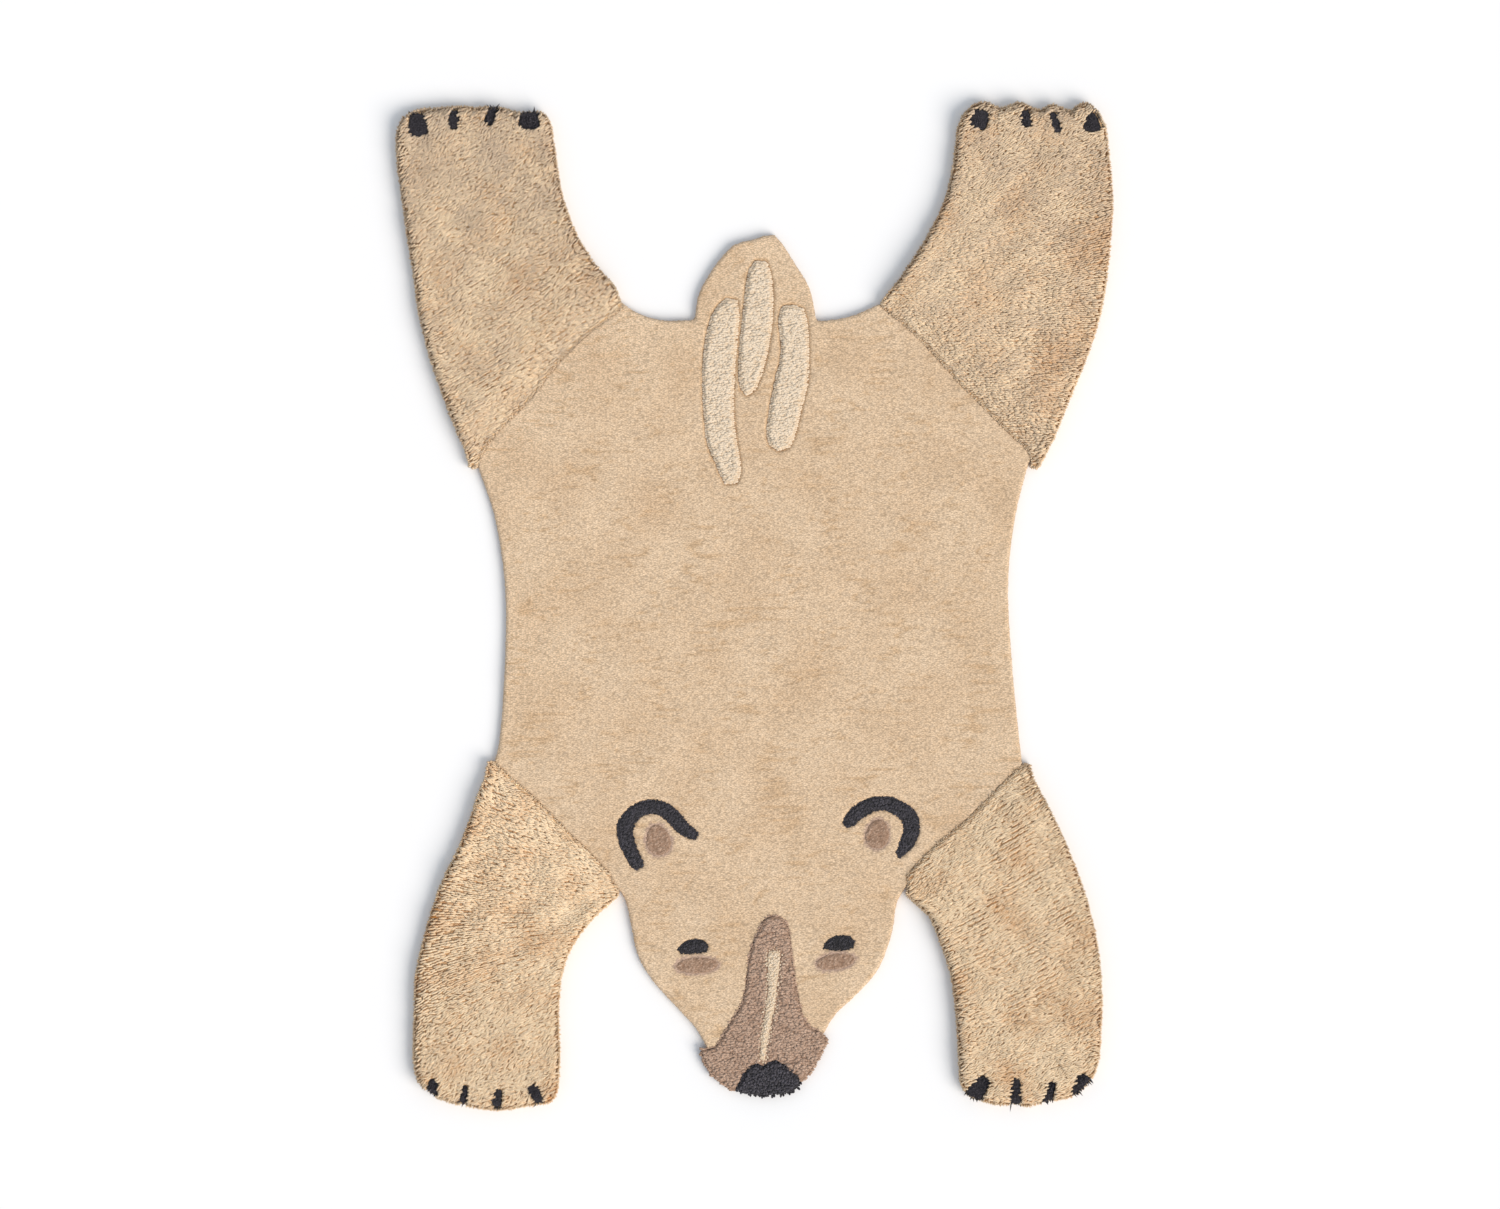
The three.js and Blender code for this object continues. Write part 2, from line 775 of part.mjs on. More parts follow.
function addPiece(name, form, material) {
  const { vertProperties, triVerts } = form.getMesh();
  const geometry = new THREE.BufferGeometry();
  geometry.setAttribute("position", new THREE.BufferAttribute(vertProperties, 3));
  geometry.setIndex(new THREE.BufferAttribute(triVerts, 1));
  geometry.computeVertexNormals();
  const mesh = new THREE.Mesh(geometry, material);
  mesh.name = name;
  rug.add(mesh);
}

// A small field stands in a pocket of a larger one. Returns the larger field with its pocket.
function inlay(field, name, points, material, top, gap = clearance) {
  addPiece(name, slab(points, ground + clearance, top, crispRim), material);
  return field.subtract(room(points, gap, ground));
}

let body = slab(outline(bodyStretches, bodyStep), 0, lowPile, softRim);

legs.forEach((leg, legNumber) => {
  const form = legForm(leg);
  const { body: plainSlab, ring } = legSlab(form);
  const clawLoops = leg.claws.map(clawLoop);
  let shag = locks(form, clawLoops, legNumber).reduce((whole, lock) => whole.add(lock), plainSlab);
  const raised = plainSlab.translate(0, 0, clawRise);
  clawLoops.forEach((points, i) => {
    const yarn = slab(points, ground + clearance, cutHeight, sharpRim).intersect(raised);
    addPiece(`claw_${leg.name}_${i + 1}`, yarn, charcoalPile);
    shag = shag.subtract(room(points, clearance, ground));
  });
  const [pair, side] = leg.name.split("_");
  addPiece(`${pair}_leg_${side}`, shag, sandShag);
  body = body.subtract(room(ring, clearance, -ground));
});

const muzzleOutline = outline(muzzleStretches, faceStep);
const noseOutline = outline(noseStretches, faceStep);
body = body.subtract(room(muzzleOutline, clearance, -ground));
let muzzle = slab(muzzleOutline, 0, muzzlePile, softRim);
muzzle = muzzle.subtract(room(noseOutline, clearance, -ground));
muzzle = inlay(muzzle, "muzzle_stripe", sectionLoop(stripeSections, faceStep), creamPile, stripePile);
addPiece("muzzle", muzzle, taupePile);
addPiece("nose", slab(noseOutline, 0, nosePile, softRim), charcoalPile);

Object.entries(strokeSections).forEach(([name, sections]) => {
  body = inlay(body, name, sectionLoop(sections, bodyStep), creamPile, strokePile, strokeGroove);
});
Object.entries(earRims).forEach(([name, rows]) => {
  body = inlay(body, name, bandLoop(rows, faceStep), charcoalPile, earRimPile);
});
Object.entries(patches).forEach(([name, patch]) => {
  body = inlay(body, name, patchLoop(patch, faceStep), taupePile, lowPile);
});
Object.entries(eyes).forEach(([name, rows]) => {
  body = inlay(body, name, loop(rows, faceStep), charcoalPile, eyePile);
});
addPiece("body_pile", body, sandPile);

export default rug;
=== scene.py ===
# A hand-tufted rug in the outline of a polar bear, dressed in its yarn. Lengths in the tables are
# in millimetres and the scene is in metres. Seen from above, the tail is at +Y and the head at -Y.

import bmesh
import bpy
import numpy as np
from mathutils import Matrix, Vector
from mathutils.bvhtree import BVHTree


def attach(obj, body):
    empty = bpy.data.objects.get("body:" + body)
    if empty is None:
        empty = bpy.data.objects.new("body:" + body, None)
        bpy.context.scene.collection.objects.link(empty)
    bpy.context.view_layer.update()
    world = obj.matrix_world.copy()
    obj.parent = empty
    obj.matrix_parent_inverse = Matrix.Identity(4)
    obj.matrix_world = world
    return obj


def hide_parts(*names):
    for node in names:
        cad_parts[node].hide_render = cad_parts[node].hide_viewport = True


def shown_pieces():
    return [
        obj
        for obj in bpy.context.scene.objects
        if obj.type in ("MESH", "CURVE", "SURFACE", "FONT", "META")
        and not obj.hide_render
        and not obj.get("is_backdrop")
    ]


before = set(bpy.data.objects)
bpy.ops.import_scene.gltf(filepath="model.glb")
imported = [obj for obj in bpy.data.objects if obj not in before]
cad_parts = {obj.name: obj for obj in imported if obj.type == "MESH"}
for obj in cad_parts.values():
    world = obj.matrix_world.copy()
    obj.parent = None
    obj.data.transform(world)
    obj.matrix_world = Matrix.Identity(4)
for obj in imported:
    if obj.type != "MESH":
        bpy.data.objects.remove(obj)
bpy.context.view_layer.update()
mm = 0.001
print("frame loaded")


# Camera, light and floor

view = {
    "lens": 100,  # long, so the rug is seen straight from above right to its rims
    "sensor": 36,
    "width": 2515.5,  # floor that the picture takes in from left to right
    "centre": (-5.9, 0.9),
    "plane": 14,  # height at which that width holds
    "farthest": 100,  # metres that the camera sees
}
light = {
    "sunColour": "#fff6ec",
    "sunStrength": 2.95,
    "sunFrom": (0.62, -0.48, 0.64),  # low from the lower right, so shadows fall up and left
    "sunAngle": 42,  # degrees across, for soft shadow edges
    "skyColour": "#e8f1fc",
    "skyStrength": 0.68,
    "floorSize": 60000,
    "floorDrop": 0.2,  # below the rug, so that floor and underside don't share a plane
    "floorColour": "#f1f1f1",
}


def linear(code):
    values = np.array([int(code[i : i + 2], 16) / 255 for i in (1, 3, 5)])
    values = np.where(values <= 0.04045, values / 12.92, ((values + 0.055) / 1.055) ** 2.4)
    return (*values.tolist(), 1.0)


def addNode(material, kind, values=None, **settings):
    # values holds a number, a colour or another node's output for each socket
    node = material.node_tree.nodes.new("ShaderNode" + kind)
    for name, value in settings.items():
        setattr(node, name, value)
    for socket, value in (values or {}).items():
        if isinstance(value, bpy.types.NodeSocket):
            material.node_tree.links.new(value, node.inputs[socket])
        else:
            node.inputs[socket].default_value = value
    return node


def newMaterial(name):
    material = bpy.data.materials.new(name)
    material.use_nodes = True
    material.node_tree.nodes.clear()
    return material


def makeStudio():
    scene = bpy.context.scene
    scene.view_settings.view_transform = "Standard"
    camera = bpy.data.cameras.new("camera")
    camera.lens = view["lens"]
    camera.sensor_width = view["sensor"]
    camera.clip_end = view["farthest"]
    eye = bpy.data.objects.new("camera", camera)
    distance = view["width"] * mm * view["lens"] / view["sensor"]
    eye.location = (view["centre"][0] * mm, view["centre"][1] * mm, view["plane"] * mm + distance)
    scene.collection.objects.link(eye)
    scene.camera = eye

    sun = bpy.data.lights.new("window", "SUN")
    sun.color = linear(light["sunColour"])[:3]
    sun.energy = light["sunStrength"]
    sun.angle = np.radians(light["sunAngle"])
    lamp = bpy.data.objects.new("window", sun)
    lamp.rotation_mode = "QUATERNION"
    lamp.rotation_quaternion = Vector(light["sunFrom"]).to_track_quat("Z", "Y")
    scene.collection.objects.link(lamp)

    world = bpy.data.worlds.new("studio")
    world.use_nodes = True
    backdrop = world.node_tree.nodes["Background"]
    backdrop.inputs["Color"].default_value = linear(light["skyColour"])
    backdrop.inputs["Strength"].default_value = light["skyStrength"]
    scene.world = world

    paper = newMaterial("matt_white_paper")  # plain and without gloss
    surface = {"Base Color": linear(light["floorColour"]), "Roughness": 1.0, "Specular IOR Level": 0.0}
    shader = addNode(paper, "BsdfPrincipled", surface)
    addNode(paper, "OutputMaterial", {"Surface": shader.outputs[0]})
    bm = bmesh.new()
    bmesh.ops.create_grid(bm, x_segments=1, y_segments=1, size=light["floorSize"] * mm / 2)
    bmesh.ops.translate(bm, verts=bm.verts, vec=(0, 0, -light["floorDrop"] * mm))
    floorMesh = bpy.data.meshes.new("floor")
    bm.to_mesh(floorMesh)
    bm.free()
    floorMesh.materials.append(paper)
    floor = bpy.data.objects.new("floor", floorMesh)
    scene.collection.objects.link(floor)
    floor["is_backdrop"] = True


makeStudio()
print("studio made")


# Yarn. low: colour deep between the yarns, painted darker there as shade; side: along a yarn; tip:
# its cut end, painted lighter as where the light falls; shade: a browner colour that single yarns
# stray to at random, and that is also painted in as shade in partings, grooves and along seams;
# other: what a field's blurred or greyer places turn to, and on the charcoal yarn a painted highlight
# that single yarns catch. ends: width of a cut end; long: how much longer it is from left to right;
# endShade: painted shade between neighbouring ends; endSpread: difference in lightness from end to
# end; endRelief: height of the ends

yarns = {
    "sand_wool_low_cut": {
        "slot": "sand_pile",
        "low": "#b9946f", "side": "#d2b38f", "tip": "#ead2b5", "shade": "#c9a680", "other": "#b79b88",
        "ends": 1.5, "long": 2.5, "endShade": 0.32, "endSpread": 0.15, "endRelief": 0.3,
    },
    "sand_wool_shag": {
        "slot": "sand_shag",
        "low": "#c4965f", "side": "#e3c398", "tip": "#f4debe", "shade": "#c98f50", "other": "#cdb69c",
        "ends": 2.0, "long": 1.0, "endShade": 0.06, "endSpread": 0.05, "endRelief": 0.25,
    },
    "taupe_wool_cut": {
        "slot": "taupe_pile",
        "low": "#8f6f59", "side": "#a98c76", "tip": "#c6a892", "shade": "#987862", "other": "#c9ac90",
        "ends": 2.0, "long": 1.5, "endShade": 0.26, "endSpread": 0.12, "endRelief": 0.4,
    },
    "cream_wool_cut": {
        "slot": "cream_pile",
        "low": "#c8af90", "side": "#dcc7ab", "tip": "#e8d6be", "shade": "#d5bc9c", "other": "#dfccb3",
        "ends": 2.4, "long": 1.5, "endShade": 0.06, "endSpread": 0.04, "endRelief": 0.35,
    },
    "charcoal_wool_cut": {
        "slot": "charcoal_pile",
        "low": "#242225", "side": "#39363b", "tip": "#56525a", "shade": "#252325", "other": "#6f6b72",
        "ends": 2.2, "long": 1.3, "endShade": 0.34, "endSpread": 0.30, "endRelief": 0.5,
    },
}
fibre = {
    "size": 0.9,  # of the flecks in the yarn
    "flecks": 0.09,  # how much lighter or darker they are
    "relief": 0.3,
    "roughness": 0.95,
    "sheen": 0.25,
    "sheenRoughness": 0.55,
    "gloss": 0.12,
}


def woolYarn(name, yarn):
    # Dyed, cut wool: matt, with a faint sheen from loose fibres, and its colour painted darker between the
    # yarns than on top, as painted shade there and painted light on the ends
    material = newMaterial(name)
    rise = addNode(material, "Attribute", attribute_name="rise")
    tone = addNode(material, "Attribute", attribute_name="tone")
    other = addNode(material, "Attribute", attribute_name="other")
    # rise picks the colour by height: painted shade low among the yarns, painted light at their tips
    ramp = addNode(material, "ValToRGB", {"Fac": rise.outputs["Fac"]})
    ramp.color_ramp.elements[0].color = linear(yarn["low"])
    ramp.color_ramp.elements[1].color = linear(yarn["tip"])
    ramp.color_ramp.elements.new(0.6).color = linear(yarn["side"])
    colour = ramp.outputs["Color"]
    for amount, stray in ((tone, yarn["shade"]), (other, yarn["other"])):
        blend = {"Factor": amount.outputs["Fac"], 6: colour, 7: linear(stray)}  # 6 and 7 are the two colours
        colour = addNode(material, "Mix", blend, data_type="RGBA").outputs[2]
    place = addNode(material, "TexCoord").outputs["Object"]
    flecks = {"Vector": place, "Scale": 1000 / fibre["size"], "Detail": 3.0, "Roughness": 0.6}
    fuzz = addNode(material, "TexNoise", flecks).outputs["Fac"]
    squeeze = {0: place, 1: (1 / yarn["long"], 1, 1)}
    longer = addNode(material, "VectorMath", squeeze, operation="MULTIPLY").outputs["Vector"]
    ends = addNode(material, "TexVoronoi", {"Vector": longer, "Scale": 1000 / yarn["ends"]})
    spread = addNode(material, "SeparateColor", {"Color": ends.outputs["Color"]}).outputs["Red"]
    for amount, low, high, down, up in (
        (fuzz, 0.3, 0.7, 1 - fibre["flecks"], 1 + fibre["flecks"]),
        # painted shade: darker towards the gaps between neighbouring ends
        (ends.outputs["Distance"], 0.2, 0.75, 1 + yarn["endShade"] / 2, 1 - yarn["endShade"]),
        (spread, 0.0, 1.0, 1 - yarn["endSpread"], 1 + yarn["endSpread"]),
    ):
        span = {"Value": amount, 1: low, 2: high, 3: down, 4: up}
        factor = addNode(material, "MapRange", span).outputs["Result"]
        colour = addNode(material, "VectorMath", {0: colour, 3: factor}, operation="SCALE").outputs["Vector"]
    hair = addNode(material, "Bump", {"Height": fuzz, "Strength": 1.0, "Distance": fibre["relief"] * mm})
    cut = {
        "Height": ends.outputs["Distance"],
        "Strength": 1.0,
        "Distance": yarn["endRelief"] * mm,
        "Normal": hair.outputs["Normal"],
    }
    relief = addNode(material, "Bump", cut, invert=True)  # the distance grows towards the gaps
    shader = addNode(
        material,
        "BsdfPrincipled",
        {
            "Base Color": colour,
            "Normal": relief.outputs["Normal"],
            "Roughness": fibre["roughness"],
            "Specular IOR Level": fibre["gloss"],
            "Sheen Weight": fibre["sheen"],
            "Sheen Roughness": fibre["sheenRoughness"],
        },
    )
    addNode(material, "OutputMaterial", {"Surface": shader.outputs[0]})
    return material


materials = {name: woolYarn(name, yarn) for name, yarn in yarns.items()}
print("yarns dyed")


# Outlines and unevenness


def bottomLoop(node):
    # The outline on which a field of yarn stands, anticlockwise, in metres
    bm = bmesh.new()
    bm.from_mesh(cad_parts[node].data)
    bmesh.ops.remove_doubles(bm, verts=bm.verts, dist=0.01 * mm)
    floor = min(v.co.z for v in bm.verts) + 0.1 * mm
    under = {f for f in bm.faces if all(v.co.z < floor for v in f.verts)}
    rim = {e for f in under for e in f.edges if sum(g in under for g in e.link_faces) == 1}
    loops = []
    while rim:
        edge = rim.pop()
        start, here = edge.verts
        loop = [start, here]
        while here is not start:
            edge = next(e for e in here.link_edges if e in rim)
            rim.discard(edge)
            here = edge.other_vert(here)
            loop.append(here)
        loops.append(np.array([v.co.xy for v in loop[:-1]]))
    bm.free()
    loop = max(loops, key=lambda loop: abs(area(loop)))
    loop = loop if area(loop) > 0 else loop[::-1]
    lowest = np.lexsort((loop[:, 0], loop[:, 1]))[0]
    return np.roll(loop, -lowest, axis=0)  # starts at one corner, so each run is the same


def area(loop):
    x, y = loop.T
    return float((x * np.roll(y, -1) - y * np.roll(x, -1)).sum() / 2)


def toLoop(points, loop):
    # How far each point lies inside an outline, negative outside, and the way out to its nearest edge
    start, step = loop, np.roll(loop, -1, axis=0) - loop
    depths, ways = [], []
    for part in np.array_split(points, max(1, len(points) * len(loop) // 400000)):
        share = ((part[:, None] - start) * step).sum(2) / (step * step).sum(1)
        nearest = start + np.clip(share, 0, 1)[..., None] * step
        gaps = np.linalg.norm(part[:, None] - nearest, axis=2)
        k = gaps.argmin(1)
        rows = np.arange(len(part))
        x, y = part[:, :1], part[:, 1:]
        above = (start[:, 1] > y) != (start[:, 1] + step[:, 1] > y)
        height = np.where(step[:, 1] == 0, 1, step[:, 1])
        crossing = above & (x < start[:, 0] + (y - start[:, 1]) * step[:, 0] / height)
        sign = np.where(crossing.sum(1) % 2 == 1, 1, -1)
        depths.append(gaps[rows, k] * sign)
        out = (nearest[rows, k] - part) * sign[:, None]
        ways.append(out / np.maximum(np.linalg.norm(out, axis=1), 1e-9)[:, None])
    return np.concatenate(depths), np.concatenate(ways)


def along(loop, spacing):
    # Places evenly spaced along an outline, and the way out at each
    step = np.roll(loop, -1, axis=0) - loop
    length = np.linalg.norm(step, axis=1)
    stops = np.concatenate([[0], np.cumsum(length)])
    at = np.arange(0, stops[-1], stops[-1] / max(4, round(stops[-1] / spacing)))
    k = np.clip(np.searchsorted(stops, at, "right") - 1, 0, len(loop) - 1)
    places = loop[k] + step[k] * ((at - stops[k]) / length[k])[:, None]
    out = np.stack([step[k, 1], -step[k, 0]], 1) / length[k, None]
    return places, out


def drift(points, size, seed, stretch=1.0, angle=0.0):
    # Smooth unevenness about 1 high, with patches of a size in mm, longer along an angle by stretch
    rng = np.random.default_rng(seed)
    turn = np.radians(angle)
    x = (points[:, 0] * np.cos(turn) + points[:, 1] * np.sin(turn)) / stretch
    y = points[:, 1] * np.cos(turn) - points[:, 0] * np.sin(turn)
    total = np.zeros(len(points))
    waves = 14
    for _ in range(waves):
        way, phase = rng.uniform(0, 2 * np.pi, 2)
        wave = 2 * size * mm * rng.uniform(0.7, 1.6)
        total += np.sin(2 * np.pi * (x * np.cos(way) + y * np.sin(way)) / wave + phase)
    return total / np.sqrt(waves / 2)


def partings(points, size, seed, stretch, angle, width):
    # Thin wavy lines where the pile parts, 1 along their middle
    return np.exp(-((drift(points, size, seed, stretch, angle) / width) ** 2))


def ease(value, low, high):
    share = np.clip((value - low) / (high - low), 0, 1)
    return share * share * (3 - 2 * share)


outlines = {name: bottomLoop(name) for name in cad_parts}
tops = {
    name: BVHTree.FromPolygons([v.co[:] for v in o.data.vertices], [p.vertices[:] for p in o.data.polygons])
    for name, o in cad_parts.items()
}
legNames = [f"{pair}_leg_{side}" for pair in ("hind", "fore") for side in ("left", "right")]
clawNames = {
    leg: [name for name in outlines if name.startswith("claw_" + leg.replace("_leg", ""))] for leg in legNames
}
print("outlines read:", len(outlines))


def topOf(node, points):
    # The height of a field's own solid under each point
    found = []
    for x, y in points:
        hit = tops[node].ray_cast(Vector((x, y, 0.1)), Vector((0, 0, -1)))[0]
        found.append(hit.z if hit else 0.0)
    return np.array(found)


# What all the pieces are made with


def finish(name, mesh, material, node=None):
    mesh.materials.append(materials[material])
    piece = bpy.data.objects.new(name, mesh)
    bpy.context.scene.collection.objects.link(piece)
    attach(piece, "root")
    if node:
        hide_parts(node)
    return piece


def setAttribute(mesh, name, values):
    mesh.attributes.new(name, "FLOAT", "POINT").data.foreach_set("value", np.asarray(values, np.float32))


def paintShaded(mesh, rise, tone):
    # Paints what lies under the yarns' tips in one even, browner colour from low on the yarns' ramp: painted
    # shade, as it lies deep among them
    for name, value in (("rise", rise), ("tone", tone), ("other", 0)):
        setAttribute(mesh, name, np.full(len(mesh.vertices), value))


def slabMesh(name, loop, base, top, rounded):
    # A closed slab over an outline, with its upper rim rounded
    bm = bmesh.new()
    floor = bm.faces.new([bm.verts.new((x, y, base * mm)) for x, y in loop])
    lifted = bmesh.ops.extrude_face_region(bm, geom=[floor], use_keep_orig=True)
    roof = [v for v in lifted["geom"] if isinstance(v, bmesh.types.BMVert)]
    bmesh.ops.translate(bm, verts=roof, vec=(0, 0, (top - base) * mm))
    if rounded:
        bmesh.ops.bevel(
            bm,
            geom=[e for e in bm.edges if all(v in roof for v in e.verts)],
            offset=rounded * mm,
            affect="EDGES",
            segments=2,
            profile=0.5,
            material=-1,
            clamp_overlap=True,
        )
    bmesh.ops.recalc_face_normals(bm, faces=bm.faces)
    mesh = bpy.data.meshes.new(name)
    bm.to_mesh(mesh)
    bm.free()
    return mesh


bent = {
    "swell": 0.13,  # how much single corners of a yarn stand out or in
    "spin": (0.5, 1.1),  # radians from the comb to a yarn's first corner, so that its sides follow the comb
    "bend": 1.6,  # above 1, a yarn bends more towards its tip
    "tilt": 0.9,  # how far its end tips over with it
    "stiff": 4,  # a yarn shorter than this tips as one of this length
    "lowest": 0.2,
}


def tuftShape(sides, waist, bulge, shoulder, ridge=0):
    # One cut yarn of height 1 and radius 1, round at its tip, or with a ridge where it is four-sided
    bm = bmesh.new()
    bmesh.ops.create_cone(bm, cap_ends=True, segments=sides, radius1=waist, radius2=bulge, depth=shoulder)
    bmesh.ops.translate(bm, verts=bm.verts, vec=(0, 0, shoulder / 2))
    top = max(bm.faces, key=lambda f: f.calc_center_median().z)
    if ridge:
        corners = sorted(top.verts, key=lambda v: np.arctan2(v.co.y, v.co.x) % (2 * np.pi - 0.01))
        bmesh.ops.delete(bm, geom=[top], context="FACES_ONLY")
        ends = [bm.verts.new((way * ridge, -way * ridge, 1)) for way in (0.7, -0.7)]  # on a diagonal
        for face in ((3, 0, ends[0]), (0, 1, ends[1], ends[0]), (1, 2, ends[1]), (2, 3, ends[0], ends[1])):
            bm.faces.new([corners[v] if isinstance(v, int) else v for v in face])
    else:
        poked = bmesh.ops.poke(bm, faces=[top])
        poked["verts"][0].co.z = 1
    bmesh.ops.recalc_face_normals(bm, faces=bm.faces)
    bm.verts.index_update()
    points = np.array([v.co[:] for v in bm.verts])
    faces = [[v.index for v in f.verts] for f in bm.faces]
    bottom = [f.calc_center_median().z < 0.01 for f in bm.faces]
    bm.free()
    return {"points": points, "faces": faces, "bottom": bottom}


def tuftMesh(name, shape, tufts):
    # Joins one copy of the yarn for each tuft, bent over from its root to its tip, and wider along its comb
    points, count = shape["points"], len(tufts["root"])
    rng = np.random.default_rng(len(name) * 7 + count)
    share = np.clip(points[:, 2], 0, 1)
    combed = np.linalg.norm(tufts["comb"], axis=1) > 0
    spin = np.arctan2(tufts["comb"][:, 1], tufts["comb"][:, 0]) + rng.uniform(*bent["spin"], count)
    spin = np.where(combed, spin, rng.uniform(0, 2 * np.pi, count))
    swell = 1 + bent["swell"] * rng.standard_normal((count, len(points))).clip(-2, 2) * (share > 0.01)
    across = points[None, :, :2] * (tufts["radius"][:, None] * swell)[..., None]
    turned = np.stack(
        [
            across[..., 0] * np.cos(spin)[:, None] - across[..., 1] * np.sin(spin)[:, None],
            across[..., 0] * np.sin(spin)[:, None] + across[..., 1] * np.cos(spin)[:, None],
        ],
        2,
    )
    comb = tufts["comb"][:, None, :]
    turned = turned + (turned * comb).sum(2)[..., None] * comb
    height = (tufts["tip"] - tufts["base"])[:, None]
    bend = share ** bent["bend"]
    steep = tufts["lean"] / np.maximum(height, bent["stiff"] * mm)
    tilt = (turned * steep[:, None, :]).sum(2) * bend
    place = np.empty((count, len(points), 3))
    place[..., :2] = tufts["root"][:, None, :] + turned + tufts["lean"][:, None, :] * bend[:, None]
    lifted = tufts["base"][:, None] + height * share - bent["tilt"] * tilt
    place[..., 2] = np.maximum(lifted, bent["lowest"] * mm)

    corners = np.concatenate([np.array(f) for f in shape["faces"]])
    sizes = np.array([len(f) for f in shape["faces"]])
    loops = (corners[None] + (np.arange(count) * len(points))[:, None]).ravel()
    starts = np.concatenate([[0], np.cumsum(np.tile(sizes, count))[:-1]])
    mesh = bpy.data.meshes.new(name)
    mesh.vertices.add(count * len(points))
    mesh.loops.add(len(loops))
    mesh.polygons.add(len(starts))
    mesh.vertices.foreach_set("co", place.ravel())
    mesh.loops.foreach_set("vertex_index", loops.astype(np.int32))
    mesh.polygons.foreach_set("loop_start", starts.astype(np.int32))
    mesh.polygons.foreach_set("use_smooth", np.tile(~np.array(shape["bottom"]), count))
    mesh.update(calc_edges=True)

    # Each tuft has a square of its own on the map, its tip in the middle and its root round it
    columns = int(np.ceil(np.sqrt(count)))
    cell = np.stack([np.arange(count) % columns, np.arange(count) // columns], 1)
    way = points[:, :2] / np.maximum(np.linalg.norm(points[:, :2], axis=1), 1e-9)[:, None]
    spot = 0.5 + way * (0.46 - 0.34 * share)[:, None]
    cornerSpot = spot[corners]
    under = np.repeat(shape["bottom"], sizes)
    cornerSpot[under] = 0.04 + 0.03 * way[corners][under]
    uv = (cell[:, None] + cornerSpot[None]) / columns
    mesh.uv_layers.new(name="OFBake").uv.foreach_set("vector", uv.astype(np.float32).ravel())
    # rise: share of the yarn's height, by which its colour goes from painted shade at the root to painted
    # light at the tip
    setAttribute(mesh, "rise", np.tile(share, count))
    for key in ("tone", "other"):
        setAttribute(mesh, key, np.repeat(tufts[key], len(points)))
    return mesh


stand = {  # shares of the distance from yarn to yarn
    "row": 0.87,  # from one staggered row to the next
    "stray": 0.2,
    "rimStray": 0.12,
    "clear": 0.7,  # from the rim's row to the rows inside it
}


def standTufts(loop, pitch, margin, seed):
    # Places for yarns: one row just inside the outline, then staggered rows, each a little astray
    rng = np.random.default_rng(seed)
    rim, out = along(loop, pitch * mm)
    rim = rim - out * margin * mm + rng.normal(0, stand["rimStray"] * pitch * mm, rim.shape)
    low, high = loop.min(0), loop.max(0)
    step = np.array([pitch, pitch * stand["row"]]) * mm
    cols, rows = np.ceil((high - low) / step).astype(int) + 1
    i, j = np.meshgrid(np.arange(cols), np.arange(rows))
    inner = low + np.stack([(i + 0.5 * (j % 2)).ravel(), j.ravel()], 1) * step
    inner = inner + rng.normal(0, stand["stray"] * pitch * mm, inner.shape)
    depth, _ = toLoop(inner, loop)
    return rim, inner[depth > (margin + stand["clear"] * pitch) * mm]


def countFaces(mesh):
    mesh.calc_loop_triangles()
    return len(mesh.loop_triangles)


def insetLoop(loop, distance):
    before = loop - np.roll(loop, 1, axis=0)
    after = np.roll(before, -1, axis=0)
    way = before / np.linalg.norm(before, axis=1)[:, None] + after / np.linalg.norm(after, axis=1)[:, None]
    way = way / np.maximum(np.linalg.norm(way, axis=1), 1e-9)[:, None]
    return loop + np.stack([-way[:, 1], way[:, 0]], 1) * distance * mm


def gather(parts):
    # Joins the tables of several rows of yarn
    return {key: np.concatenate([part[key] for part in parts]) for key in parts[0]}


def cutPile(name, loop, base, top, cell):
    # A closed slab with a plain underside, whose upper faces are about one yarn end wide
    source = bpy.data.objects.new("source", slabMesh("source", loop, base, top, 0))
    bpy.context.scene.collection.objects.link(source)
    remesh = source.modifiers.new("cells", "REMESH")
    remesh.mode = "VOXEL"
    remesh.voxel_size = cell * mm
    mesh = bpy.data.meshes.new_from_object(source.evaluated_get(bpy.context.evaluated_depsgraph_get()))
    bpy.data.objects.remove(source)
    mesh.name = name
    bm = bmesh.new()
    bm.from_mesh(mesh)
    bmesh.ops.delete(bm, geom=[f for f in bm.faces if f.normal.z < -0.7], context="FACES")
    rim = [e for e in bm.edges if e.is_boundary]
    for v in {v for e in rim for v in e.verts}:
        v.co.z = base * mm
    bmesh.ops.holes_fill(bm, edges=rim, sides=0)
    bmesh.ops.recalc_face_normals(bm, faces=bm.faces)
    for f in bm.faces:
        f.smooth = len(f.verts) < 5
    bm.to_mesh(mesh)
    bm.free()
    place = np.empty(len(mesh.vertices) * 3)
    mesh.vertices.foreach_get("co", place)
    return mesh, place.reshape(-1, 3)


def rounding(depth, size):
    # How far a rounded rim falls at each depth inside it
    return size * (1 - np.sqrt(1 - (1 - np.clip(depth / size, 0, 1)) ** 2))


# Legs

